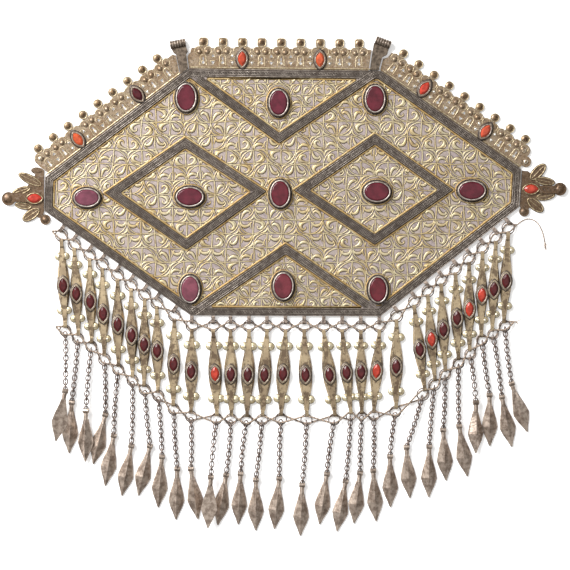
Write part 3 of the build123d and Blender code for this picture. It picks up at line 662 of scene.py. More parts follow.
def inlay_tree():
    """Flat raised strokes, each with a thin dark line round it: partly oxide, partly a painted shadow of
    the raised stroke.
    """
    weave = Weave(
        "inlay",
        [
            ("Relief", "NodeSocketFloat", 0.35),
            ("Edge", "NodeSocketFloat", 0.0002),
            ("Metal", "NodeSocketMaterial", None),
            ("Line", "NodeSocketMaterial", None),
        ],
    )
    curve = weave.given["Geometry"]
    metal = swept(weave, curve, 6, weave.given["Relief"])
    radius = weave.add("GeometryNodeInputRadius")
    wide = weave.add(
        "GeometryNodeSetCurveRadius",
        {},
        {"Curve": curve, "Radius": weave.math("ADD", radius, weave.given["Edge"])},
    )
    # A flat dark strip under the stroke: partly oxide, partly a painted shadow.
    line = swept(weave, wide, 4, 0.09)
    parts = [weave.dressed(metal, weave.given["Metal"]), weave.dressed(line, weave.given["Line"])]
    return weave.close(weave.add("GeometryNodeJoinGeometry", {}, {0: parts}))


def wire_tree():
    """Plain wires along the curves."""
    weave = Weave(
        "wire",
        [
            ("Sides", "NodeSocketInt", 6),
            ("Flatness", "NodeSocketFloat", 1.0),
            ("Metal", "NodeSocketMaterial", None),
        ],
    )
    wire = swept(weave, weave.given["Geometry"], weave.given["Sides"], weave.given["Flatness"])
    return weave.close(weave.dressed(wire, weave.given["Metal"]))


def along(weave, curve, pitch):
    """The curve's points at even steps, with the turn that lays a shape's X along the curve."""
    settings = {"mode": "LENGTH"}
    points = weave.add("GeometryNodeResampleCurve", settings, {"Curve": curve, "Length": pitch})
    tangent = weave.add("GeometryNodeInputTangent")
    turn = weave.add("FunctionNodeAlignRotationToVector", {"axis": "X"}, {"Vector": tangent})
    return points, turn


def turned_about(weave, turn, axis, angle):
    extra = weave.add("FunctionNodeAxisAngleToRotation", {}, {"Axis": axis, "Angle": angle})
    return weave.add("FunctionNodeRotateRotation", {"rotation_space": "LOCAL"}, {0: turn, 1: extra})


def twist_tree():
    """A twisted wire: slanting beads close together along the curves."""
    weave = Weave(
        "twisted_wire",
        [
            ("Pitch", "NodeSocketFloat", 0.0009),
            ("Length", "NodeSocketFloat", 0.0006),
            ("Thickness", "NodeSocketFloat", 0.00028),
            ("Slant", "NodeSocketFloat", 0.8),
            ("Metal", "NodeSocketMaterial", None),
        ],
    )
    points, turn = along(weave, weave.given["Geometry"], weave.given["Pitch"])
    turn = turned_about(weave, turn, (0, 0, 1), weave.given["Slant"])
    bead = weave.add("GeometryNodeMeshUVSphere", {}, {"Segments": 6, "Rings": 4, "Radius": 1.0})
    thick = weave.given["Thickness"]
    scale = weave.vector(weave.given["Length"], thick, thick)
    beads = weave.add(
        "GeometryNodeInstanceOnPoints", {}, {
            "Points": points, "Instance": bead, "Rotation": turn, "Scale": scale
        }
    )
    return weave.close(weave.dressed(beads, weave.given["Metal"]))


def granule_tree():
    """A small ball on each point, as large as the point's size."""
    weave = Weave("granules", [("Metal", "NodeSocketMaterial", None), ("Height", "NodeSocketFloat", 1.0)])
    ball = weave.add("GeometryNodeMeshIcoSphere", {}, {"Radius": 1.0, "Subdivisions": 3})
    size = weave.add("GeometryNodeInputNamedAttribute", {"data_type": "FLOAT"}, {"Name": "size"})
    scale = weave.vector(size, size, weave.math("MULTIPLY", size, weave.given["Height"]))
    balls = weave.add(
        "GeometryNodeInstanceOnPoints", {}, {
            "Points": weave.given["Geometry"], "Instance": ball, "Scale": scale
        }
    )
    return weave.close(weave.dressed(balls, weave.given["Metal"]))


def chain_tree():
    """Oval links along the curves, every second one on its edge."""
    weave = Weave(
        "chain",
        [
            ("Pitch", "NodeSocketFloat", 0.0026),
            ("Half Length", "NodeSocketFloat", 0.0021),
            ("Half Width", "NodeSocketFloat", 0.0013),
            ("Wire", "NodeSocketFloat", 0.0003),
            ("Metal", "NodeSocketMaterial", None),
        ],
    )
    points, turn = along(weave, weave.given["Geometry"], weave.given["Pitch"])
    index = weave.add("GeometryNodeInputIndex")
    on_edge = weave.math("MULTIPLY", weave.math("MODULO", index, 2.0), radians(84))
    sway = weave.add(
        "FunctionNodeRandomValue", {"data_type": "FLOAT"}, {
            2: radians(-14), 3: radians(20), "ID": index, "Seed": 4
        }
    )
    turn = turned_about(weave, turn, (1, 0, 0), weave.math("ADD", on_edge, sway))
    circle = weave.add(
        "GeometryNodeCurvePrimitiveCircle", {"mode": "RADIUS"}, {"Resolution": 14, "Radius": 1.0}
    )
    oval_scale = weave.vector(weave.given["Half Length"], weave.given["Half Width"], 1.0)
    oval = weave.add("GeometryNodeTransform", {}, {"Geometry": circle, "Scale": oval_scale})
    wire = weave.add("GeometryNodeSetCurveRadius", {}, {"Curve": oval, "Radius": weave.given["Wire"]})
    link = swept(weave, wire, 6)
    links = weave.add(
        "GeometryNodeInstanceOnPoints", {}, {"Points": points, "Instance": link, "Rotation": turn}
    )
    return weave.close(weave.dressed(links, weave.given["Metal"]))


def rope_tree():
    """Two strands laid round each other along the curves."""
    weave = Weave(
        "rope",
        [
            ("Lay", "NodeSocketFloat", 0.0003),
            ("Turns", "NodeSocketFloat", 300.0),
            ("Strand", "NodeSocketFloat", 0.0003),
            ("Light Strand", "NodeSocketMaterial", None),
            ("Dark Strand", "NodeSocketMaterial", None),
        ],
    )
    given = weave.given
    fine = weave.add(
        "GeometryNodeResampleCurve", {"mode": "LENGTH"}, {"Curve": given["Geometry"], "Length": 0.0004}
    )
    parameter = weave.tree.nodes.new("GeometryNodeSplineParameter").outputs["Length"]
    normal = weave.add("GeometryNodeInputNormal")
    tangent = weave.add("GeometryNodeInputTangent")
    side = weave.add("ShaderNodeVectorMath", {"operation": "CROSS_PRODUCT"}, {0: tangent, 1: normal})
    strands = []
    for phase, material in ((0.0, "Light Strand"), (pi, "Dark Strand")):
        angle = weave.math("MULTIPLY_ADD", parameter, weave.math("MULTIPLY", given["Turns"], 2 * pi))
        angle.node.inputs[2].default_value = phase
        across = weave.add(
            "ShaderNodeVectorMath",
            {"operation": "SCALE"},
            {0: normal, "Scale": weave.math("MULTIPLY", weave.math("COSINE", angle), given["Lay"])},
        )
        up = weave.add(
            "ShaderNodeVectorMath",
            {"operation": "SCALE"},
            {0: side, "Scale": weave.math("MULTIPLY", weave.math("SINE", angle), given["Lay"])},
        )
        offset = weave.add("ShaderNodeVectorMath", {"operation": "ADD"}, {0: across, 1: up})
        moved = weave.add("GeometryNodeSetPosition", {}, {"Geometry": fine, "Offset": offset})
        thick = weave.add("GeometryNodeSetCurveRadius", {}, {"Curve": moved, "Radius": given["Strand"]})
        strands.append(weave.dressed(swept(weave, thick, 6), given[material]))
    return weave.close(weave.add("GeometryNodeJoinGeometry", {}, {0: strands}))


# Making pieces

Stroke = namedtuple("Stroke", "points closed")


def stroke(points, closed=False):
    return Stroke(list(points), closed)


def curve_source(name, strokes):
    data = bpy.data.curves.new(name, "CURVE")
    data.dimensions = "3D"
    data.twist_mode = "Z_UP"
    for row in strokes:
        spline = data.splines.new("POLY")
        spline.points.add(len(row.points) - 1)
        spline.points.foreach_set(
            "co", [v for x, y, z, r in row.points for v in (x * MM, y * MM, z * MM, 1)]
        )
        spline.points.foreach_set("radius", [r * MM for x, y, z, r in row.points])
        spline.use_cyclic_u = row.closed
    return bpy.data.objects.new(name, data)


def point_source(name, balls):
    data = bpy.data.meshes.new(name)
    data.from_pydata([(x * MM, y * MM, z * MM) for x, y, z, r in balls], [], [])
    data.attributes.new("size", "FLOAT", "POINT").data.foreach_set(
        "value", [r * MM for x, y, z, r in balls]
    )
    return bpy.data.objects.new(name, data)


def grow(name, source, tree, values, replaces=()):
    """Runs a tree on its source and keeps the result as a plain mesh that rides on the ornament."""
    bpy.context.scene.collection.objects.link(source)
    modifier = source.modifiers.new("grow", "NODES")
    modifier.node_group = tree
    for item in tree.interface.items_tree:
        if item.item_type == "SOCKET" and item.in_out == "INPUT" and item.name in values:
            modifier[item.identifier] = values[item.name]
    bpy.context.view_layer.update()
    graph = bpy.context.evaluated_depsgraph_get()
    mesh = bpy.data.meshes.new_from_object(source.evaluated_get(graph), depsgraph=graph)
    source.modifiers.remove(modifier)
    bpy.data.objects.remove(source)
    if not mesh.polygons:
        raise RuntimeError(f"{name} came out empty")
    mesh.name = name
    mesh.shade_smooth()
    piece = bpy.data.objects.new(name, mesh)
    bpy.context.scene.collection.objects.link(piece)
    return settle(piece, replaces)


def settle(piece, replaces=()):
    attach(piece, BODY)
    if replaces:
        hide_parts(*replaces)
    return piece


def dress(node, material):
    """Gives a CAD node its finish."""
    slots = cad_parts[node].data.materials
    slots.clear()
    slots.append(material)


def smooth(points, steps=4):
    """A Catmull-Rom line through the points. Every number of a point is blended, its width too."""
    out = []
    for i in range(len(points) - 1):
        a, b, c, d = (points[min(max(i + k, 0), len(points) - 1)] for k in (-1, 0, 1, 2))
        for s in range(steps):
            t = s / steps
            out.append(
                tuple(
                    0.5 * (
                        2 * q + (r - p) * t + (2 * p - 5 * q + 4 * r - s4) * t * t + (
                            3 * q - p - 3 * r + s4
                        ) * t**3
                    )
                    for p, q, r, s4 in zip(a, b, c, d)
                )
            )
    out.append(tuple(points[-1]))
    return out


def inset(corners, distance):
    """A convex outline that runs anticlockwise, with its sides moved inwards."""
    out = []
    for i, (x, y) in enumerate(corners):
        before, after = corners[i - 1], corners[(i + 1) % len(corners)]
        n1 = inward(before, (x, y))
        n2 = inward((x, y), after)
        share = distance / (1 + n1[0] * n2[0] + n1[1] * n2[1])
        out.append((x + share * (n1[0] + n2[0]), y + share * (n1[1] + n2[1])))
    return out


def inward(start, end):
    length = dist(start, end)
    return ((start[1] - end[1]) / length, (end[0] - start[0]) / length)


def depth(x, y, corners):
    """How far a point lies inside a convex outline, negative outside."""
    least = 1e9
    for start, end in zip(corners, corners[1:] + corners[:1]):
        n = inward(start, end)
        least = min(least, (x - start[0]) * n[0] + (y - start[1]) * n[1])
    return least


def clearance(x, y, field):
    """How far a point is from the nearest band or collet of its field. Negative is outside the field."""
    least = depth(x, y, PLATE) - BAND_W
    for row in FIELDS:
        inside = depth(x, y, row.corners)
        least = min(least, inside - row.inside if row.name == field else -inside - row.outside)
    for stone in MAIN_STONES:
        a = stone.width / 2 + COLLET_WALL + COLLET_FOOT
        b = stone.height / 2 + COLLET_WALL + COLLET_FOOT
        least = min(least, (hypot((x - stone.x) / a, (y - stone.y) / b) - 1) * min(a, b))
    return least


def clipped(points, field, margin, least=3):
    """The runs of a line of (x, y, half width) that lie in the field, at ground height."""
    runs, run = [], []
    for x, y, r in points:
        if clearance(x, y, field) > r + margin:
            run.append((x, y, SHEET_TOP, r))
            continue
        if len(run) >= least:
            runs.append(stroke(run))
        run = []
    if len(run) >= least:
        runs.append(stroke(run))
    return runs


def sampled(start, end, step, r):
    count = max(2, ceil(dist(start, end) / step))
    return [
        (start[0] + (end[0] - start[0]) * k / count, start[1] + (end[1] - start[1]) * k / count, r)
        for k in range(count + 1)
    ]


# One square of the scrollwork, in shares of its side: (u, v, half width in millimetres)
DOME = [(cos(radians(a)), sin(radians(a)), 0.42) for a in range(0, 91, 10)]
STEM = [(0.0, v / 6, 0.45) for v in range(7)]
FOOT = [(u / 6, 0.0, 0.34) for u in range(7)]
LEAVES = [
    [
        (0.08, 0.1, 0.3),
        (0.34, 0.13, 0.75),
        (0.6, 0.27, 1.2),
        (0.66, 0.5, 1.15),
        (0.48, 0.66, 0.8),
        (0.3, 0.58, 0.5),
        (0.33, 0.42, 0.3),
    ],
    [
        (0.9, 0.08, 0.3),
        (0.84, 0.3, 0.8),
        (0.62, 0.42, 1.25),
        (0.38, 0.38, 0.95),
        (0.26, 0.24, 0.55),
        (0.38, 0.14, 0.3),
    ],
    [
        (0.12, 0.92, 0.3),
        (0.2, 0.66, 0.85),
        (0.34, 0.42, 1.2),
        (0.58, 0.34, 0.95),
        (0.7, 0.46, 0.5),
        (0.58, 0.56, 0.28),
    ],
]
SPURS = [
    [(0.1, 0.62, 0.22), (0.2, 0.42, 0.5), (0.2, 0.2, 0.6), (0.12, 0.1, 0.3)],
    [(0.5, 0.1, 0.2), (0.68, 0.16, 0.5), (0.78, 0.32, 0.4), (0.74, 0.46, 0.2)],
    [(0.98, 0.56, 0.25), (0.92, 0.8, 0.7), (0.72, 0.94, 0.6), (0.52, 0.98, 0.25)],
]


def swayed(x, y):
    """A hand's unevenness."""
    return x + 0.4 * sin(0.23 * y + 0.11 * x), y + 0.4 * sin(0.19 * x - 0.13 * y)


def tile(x, y, sx, sy, size, leaf):
    """The lines of one square with its corner at x, y, mirrored by sx and sy."""
    rows = [DOME, STEM, FOOT, smooth(LEAVES[leaf], 3), smooth(SPURS[2], 3)]
    rows.append(smooth(SPURS[0 if leaf == 1 else 1], 3))
    share = size / 8.4
    return [
        [(*swayed(x + sx * u * size, y + sy * v * size), 0.9 * r * share) for u, v, r in row]
        for row in rows
    ]


def scrollwork(field, centre, size, mirror_y):
    """All strokes of one field, mirrored about its middle."""
    corners = next((row.corners for row in FIELDS if row.name == field), PLATE)
    reach_x = max(abs(x - centre[0]) for x, y in corners)
    reach_y = max(abs(y - centre[1]) for x, y in corners)
    chooser = random.Random(len(field) * 7)
    strokes, seen = [], set()
    for j in range(ceil(reach_y / size) + 1):
        for half in (1, -1):
            for i in range(ceil(reach_x / size) + 1):
                leaf = chooser.randrange(3)
                up = chooser.random() < 0.65
                if half < 0 and mirror_y:
                    continue
                for sx in (1, -1):
                    for sy in (1, -1) if mirror_y else (half,):
                        u = i if (i + j) % 2 == 0 else i + 1
                        v = j if up else j + 1
                        place = (centre[0] + sx * u * size, centre[1] + sy * v * size)
                        turn_x = sx if (i + j) % 2 == 0 else -sx
                        for row in tile(*place, turn_x, sy if up else -sy, size, leaf):
                            middle = row[len(row) // 2]
                            spot = (round(middle[0], 1), round(middle[1], 1))
                            if spot not in seen:
                                seen.add(spot)
                                strokes += clipped(row, field, 0.35)
    return strokes


def border(field):
    """The gilt strips along the edges of a field and round its collets."""
    lines = []
    for row in FIELDS:
        if row.name == field:
            lines.append(inset(row.corners, row.inside + 0.75))
        elif field == "field":
            lines.append(inset(row.corners, -row.outside - 0.75))
    lines.append(inset(PLATE, BAND_W + 0.75))
    strokes = []
    for corners in lines:
        for start, end in zip(corners, corners[1:] + corners[:1]):
            strokes += clipped(sampled(start, end, 1.2, 0.72), field, -0.25)
    for stone in MAIN_STONES:
        a = stone.width / 2 + COLLET_WALL + COLLET_FOOT + 0.7
        b = stone.height / 2 + COLLET_WALL + COLLET_FOOT + 0.7
        turns = [2 * pi * k / 40 for k in range(41)]
        strokes += clipped([(stone.x + a * cos(t), stone.y + b * sin(t), 0.6) for t in turns], field, -0.3)
    return strokes


def circle(x, y, half, z, r):
    return oval(x, y, half, half, z, r, 22)


def oval(x, y, a, b, z, r, count=36):
    turns = [2 * pi * k / count for k in range(count)]
    return stroke([(x + a * cos(t), y + b * sin(t), z, r) for t in turns], True)


def lens(half_length, half_width, z, r, count=8):
    """The outline of a pointed oval, its points on Y."""
    radius = (half_length**2 + half_width**2) / (2 * half_width)
    swing = 2 * atan2(half_width, half_length)
    points = []
    for side in (1, -1):
        for k in range(count):
            angle = -swing + 2 * swing * k / count
            points.append(
                (side * (radius * cos(angle) - (radius - half_width)), side * radius * sin(angle), z, r)
            )
    return stroke(points, True)


def placed(matrix, rows):
    """Strokes moved by a matrix in millimetres."""
    out = []
    for row in rows:
        moved = [(*(matrix @ Vector(p[:3])), p[3]) for p in row.points]
        out.append(stroke(moved, row.closed))
    return out


def placed_balls(matrix, balls):
    return [(*(matrix @ Vector(ball[:3])), ball[3]) for ball in balls]


def flat_place(x, y, angle):
    return Matrix.Translation((x, y, 0)) @ Matrix.Rotation(radians(angle), 4, "Z")


# The hangers' places, as in the part's own source


def toward(start, end, distance):
    share = distance / dist(start, end)
    return tuple(a + (b - a) * share for a, b in zip(start, end))


def rim_hook(x):
    """Where the eye of the lower rim holds its ring, at that x."""
    rows = zip(PLATE[1:4], PLATE[2:5], ("slanted", "level", "slanted"))
    for start, end, kind in rows:
        angle = atan2(end[1] - start[1], end[0] - start[0])
        out = (sin(angle), -cos(angle))
        foot_x = x - HOOKS[kind] * out[0]
        if foot_x <= end[0] or end == PLATE[4]:
            share = (foot_x - start[0]) / (end[0] - start[0])
            return x, start[1] + share * (end[1] - start[1]) + HOOKS[kind] * out[1]


def along_spindle(hanger, distance):
    lean = radians(hanger.lean)
    return hanger.x - distance * sin(lean), hanger.y + distance * cos(lean)


def reach_above(hanger):
    head = along_spindle(hanger, TOP_HOOK)
    radius = dist(head, rim_hook(head[0])) / 2
    return TOP_HOOK + 2 * (radius - min(max(radius, RING_RANGE[0]), RING_RANGE[1]))


def drop_eye(hanger):
    lean = radians(hanger.drop_lean)
    return hanger.drop_x - DROP_MIDDLE * sin(lean), hanger.drop_y + DROP_MIDDLE * cos(lean)


def upper_ring(hanger):
    head = along_spindle(hanger, reach_above(hanger))
    hook = rim_hook(head[0])
    return ((head[0] + hook[0]) / 2, (head[1] + hook[1]) / 2), dist(head, hook) / 2


def lower_ring(hanger):
    return toward(along_spindle(hanger, -FOOT_HOOK), drop_eye(hanger), hanger.loop), hanger.loop


def drop_place(hanger):
    x, y = drop_eye(hanger)
    rolled = Matrix.Translation((0, 0, AXIS_Z)) @ Matrix.Rotation(radians(hanger.roll), 4, "Y")
    rolled = rolled @ Matrix.Translation((0, 0, -AXIS_Z))
    return Matrix.Translation((x, y, hanger.lift)) @ Matrix.Rotation(
        radians(hanger.drop_lean), 4, "Z"
    ) @ rolled


def chain_line(hanger):
    """The line of one chain, from its ring to the drop's eye, with a slight bow."""
    (x0, y0), radius = lower_ring(hanger)
    x1, y1 = drop_eye(hanger)
    start = toward((x0, y0, AXIS_Z), (x1, y1, AXIS_Z + hanger.lift), radius - 0.9)
    end = toward((x1, y1, AXIS_Z + hanger.lift), (x0, y0, AXIS_Z), 0.9)
    angle = atan2(end[1] - start[1], end[0] - start[0])
    points = []
    count = 10
    for k in range(count + 1):
        t = k / count
        bow = hanger.bow * 4 * t * (1 - t) * 0.75
        x, y, z = (a + (b - a) * t for a, b in zip(start, end))
        points.append((x - bow * sin(angle), y + bow * cos(angle), z, 1.0))
    return stroke(points)


def lacing_route(rings, lead_in, lead_out, side):
    """The route of one of two cords through a row of rings. They part at a ring and cross after it."""
    route = [lead_in]
    for i, ((x, y), radius) in enumerate(rings):
        before = rings[max(i - 1, 0)][0]
        after = rings[min(i + 1, len(rings) - 1)][0]
        span = dist(before, after)
        step = ((after[0] - before[0]) / span, (after[1] - before[1]) / span)
        apart = side * LACING_APART * (1 if i % 2 else -1)
        z = AXIS_Z + side * LACING_LIFT
        for along_row in (-0.35 * radius, 0.35 * radius):
            route.append(
                (
                    x + along_row * step[0] - apart * step[1],
                    y + along_row * step[1] + apart * step[0],
                    z,
                )
            )
    return route + [lead_out]


def nurbs_curve(name, route):
    """A smooth curve object with the route's points, in millimetres, as its control points."""
    data = bpy.data.curves.new(name, "CURVE")
    data.dimensions = "3D"
    data.resolution_u = 10
    spline = data.splines.new("NURBS")
    spline.points.add(len(route) - 1)
    for point, place in zip(spline.points, route):
        point.co = (*(v * MM for v in place), 1)
    spline.order_u = 3
    spline.use_endpoint_u = True
    return bpy.data.objects.new(name, data)


def nurbs_points(route):
    """Points read from the smooth line of a route, in millimetres."""
    source = nurbs_curve("route", route)
    bpy.context.scene.collection.objects.link(source)
    mesh = bpy.data.meshes.new_from_object(source)
    points = [tuple(v.co / MM) for v in mesh.vertices]
    bpy.data.objects.remove(source)
    return points


# Operators


def sizes():
    return bpy.context.scene.ornament_sizes


def colours():
    return bpy.context.scene.ornament_colours


class ORNAMENT_OT_stage(Operator):
    """Adds the pale floor, the soft lights and the camera straight overhead"""

    bl_idname = "ornament.stage"
    bl_label = "Stage"

    def execute(self, context):
        stage = context.scene.ornament_stage
        half = 3.0
        data = bpy.data.meshes.new("floor")
        data.from_pydata(
            [(-half, -half, 0), (half, -half, 0), (half, half, 0), (-half, half, 0)], [], [(0, 1, 2, 3)]
        )
        data.materials.append(floor_finish())
        floor = bpy.data.objects.new("floor", data)
        context.scene.collection.objects.link(floor)
        middle = Vector((0.001, -0.056, 0))
        for name, place, size, power in (
            ("key", (-0.95, 0.75, 1.05), 0.9, stage.key_power),
            ("fill", (0.0, -0.05, 2.1), 1.0, stage.fill_power),
        ):
            light = bpy.data.lights.new(name, "AREA")
            light.shape = "SQUARE"
            light.size = size
            light.energy = power
            lamp = bpy.data.objects.new(name, light)
            lamp.location = place
            lamp.rotation_euler = (middle - Vector(place)).to_track_quat("-Z", "Y").to_euler()
            context.scene.collection.objects.link(lamp)
        world = bpy.data.worlds.new("studio")
        world.use_nodes = True
        world.node_tree.nodes["Background"].inputs[0].default_value = (1.0, 0.99, 0.97, 1)
        world.node_tree.nodes["Background"].inputs[1].default_value = stage.surround
        context.scene.world = world
        context.scene.view_settings.view_transform = "Standard"
        data = bpy.data.cameras.new("camera")
        data.sensor_width = 36
        data.lens = 36 * stage.camera_height / stage.view_width
        data.clip_end = 20
        camera = bpy.data.objects.new("camera", data)
        camera.location = (0.0012, -0.0558, stage.camera_height)
        context.scene.collection.objects.link(camera)
        context.scene.camera = camera
        return {"FINISHED"}


class ORNAMENT_OT_plate(Operator):
    """Gives the plate its engraved ground, and adds the wires of the bands and the collets' rims"""

    bl_idname = "ornament.plate"
    bl_label = "Plate"

    def execute(self, context):
        dress("plate", plate_finish(colours()))
        band_metal = worn_metal(
            "band_wire", linear((158, 148, 138)), linear((100, 90, 82)), 3.0, 1.0, 0.34
        )
        centre_lines = []
        for outline, offset in (
            (PLATE, BAND_W / 2), (LEFT_LOZENGE, BAND_W / 2), (RIGHT_LOZENGE, BAND_W / 2)
        ):
            centre_lines.append((inset(outline, offset), True))
        for vee in (UPPER_VEE, LOWER_VEE):
            tip = next(i for i, p in enumerate(vee) if abs(p[0]) < 10)
            centre_lines.append(([vee[tip - 1], vee[tip], vee[(tip + 1) % 3]], False))
        twists, edges = [], []
        for corners, closed in centre_lines:
            for shift in (-2.05, -0.95, 0.95, 2.05):
                row = shifted(corners, shift, closed)
                edges.append(
                    stroke([(x, y, BAND_TOP, 0.24 if abs(shift) < 2 else 0.3) for x, y in row], closed)
                )
            for shift in (-0.32, 0.32):
                row = shifted(corners, shift, closed)
                twists.append(stroke([(x, y, BAND_TOP + 0.08, 1.0) for x, y in row], closed))
        grow(
            "band_edges",
            curve_source("band_edges", edges),
            wire_tree(),
            {"Metal": band_metal},
        )
        values = {
            "Pitch": sizes().wire_pitch,
            "Length": 0.46 * MM,
            "Thickness": 0.24 * MM,
            "Slant": 0.9,
            "Metal": band_metal,
        }
        grow("band_twists", curve_source("band_twists", twists), twist_tree(), values)
        lip = worn_metal("collet_lip", (206, 196, 188), (140, 128, 120), 2.0)
        lips, feet = [], []
        for stone in MAIN_STONES:
            a, b = stone.width / 2, stone.height / 2
            lips.append(oval(stone.x, stone.y, a + 0.45, b + 0.45, COLLET_TOP, 0.42))
            foot = COLLET_WALL + COLLET_FOOT + 0.35
            feet.append(oval(stone.x, stone.y, a + foot, b + foot, BAND_TOP * 0.75, 0.4))
        grow(
            "collet_lips",
            curve_source("collet_lips", lips),
            wire_tree(),
            {"Metal": lip, "Sides": 8},
        )
        values = {
            "Pitch": 0.9 * MM,
            "Length": 0.5 * MM,
            "Thickness": 0.34 * MM,
            "Slant": 0.9,
            "Metal": band_metal,
        }
        grow("collet_feet", curve_source("collet_feet", feet), twist_tree(), values)
        return {"FINISHED"}


def shifted(corners, distance, closed):
    """A line of straight runs moved to its left, with mitred corners."""
    if closed:
        return inset(corners, distance)
    out = []
    for i, here in enumerate(corners):
        before = corners[i - 1] if i else None
        after = corners[i + 1] if i < len(corners) - 1 else None
        n1 = inward(before, here) if before else inward(here, after)
        n2 = inward(here, after) if after else n1
        share = distance / (1 + n1[0] * n2[0] + n1[1] * n2[1])
        out.append((here[0] + share * (n1[0] + n2[0]), here[1] + share * (n1[1] + n2[1])))
    return out


class ORNAMENT_OT_scrollwork(Operator):
    """Lays the gilt scrolls and border strips on the ground of every field"""

    bl_idname = "ornament.scrollwork"
    bl_label = "Scrollwork"

    def execute(self, context):
        tree = inlay_tree()
        scroll = gilding(
            "scroll_gilding",
            tuple(colours().gilding),
            tuple(colours().warm_gilding),
            (150, 124, 88),
            0.25,
            0.5,
        )
        strip = gilding("border_gilding", (206, 190, 146), (178, 146, 92), (120, 88, 52), 0.5, 0.2)
        # Dark outline under each scroll: partly oxide, partly a painted shadow of the raised scroll.
        line = dark_finish("engraved_line", (92, 76, 66))
        tile_size = sizes().scroll_tile / MM
        rows = [
            ("top", (-2.6, 44.0), tile_size * 0.82, False),
            ("bottom", (0.6, -70.0), tile_size * 0.82, False),
            ("lozenge_left", (-57.9, -1.4), tile_size, True),
            ("lozenge_right", (55.0, 1.0), tile_size, True),
            ("field", (-0.8, 0.0), tile_size, False),
        ]
        values = {"Relief": sizes().scroll_relief, "Edge": sizes().scroll_edge, "Line": line}
        for field, centre, size, mirror_y in rows:
            strokes = scrollwork(field, centre, size, mirror_y)
            parts = {f"scrolls_{field}": strokes}
            if field == "field":
                parts = {
                    "scrolls_field_left": [s for s in strokes if s.points[0][0] < centre[0]],
                    "scrolls_field_right": [s for s in strokes if s.points[0][0] >= centre[0]],
                }
            for name, part in parts.items():
                grow(name, curve_source(name, part), tree, {**values, "Metal": scroll})
            name = f"border_{field}"
            grow(name, curve_source(name, border(field)), tree, {**values, "Metal": strip})
        return {"FINISHED"}


class ORNAMENT_OT_stones(Operator):
    """Gives every stone its own colour and polish"""

    bl_idname = "ornament.stones"
    bl_label = "Stones"

    def execute(self, context):
        for stone in MAIN_STONES:
            dress(stone.name, gem_finish(f"carnelian_{stone.name[6:]}", stone.colour, True))
        for node, rgb in GEM_COLOURS.items():
            dress(node, gem_finish(f"gem_{node}", rgb))
        return {"FINISHED"}


def crest_place(crest):
    angle = degrees(atan2(crest.end[1] - crest.start[1], crest.end[0] - crest.start[0]))
    return flat_place(*crest.start, angle)


def square_round(x, y, half, z, r):
    """A square outline with round corners."""
    points = []
    for k in range(24):
        t = 2 * pi * k / 24
        c, s = cos(t), sin(t)
        points.append((x + half * copysign(abs(c) ** 0.5, c), y + half * copysign(abs(s) ** 0.5, s), z, r))
    return stroke(points, True)


def arch(x, y, width, height, z, r):
    """An outline with a round top, open at its foot, from y upwards."""
    half = width / 2
    top = [
        (x + half * cos(t), y + height - half + half * sin(t), z, r)
        for t in (pi * k / 10 for k in range(11))
    ]
    return stroke([(x + half * 1.15, y, z, r), *top, (x - half * 1.15, y, z, r)])


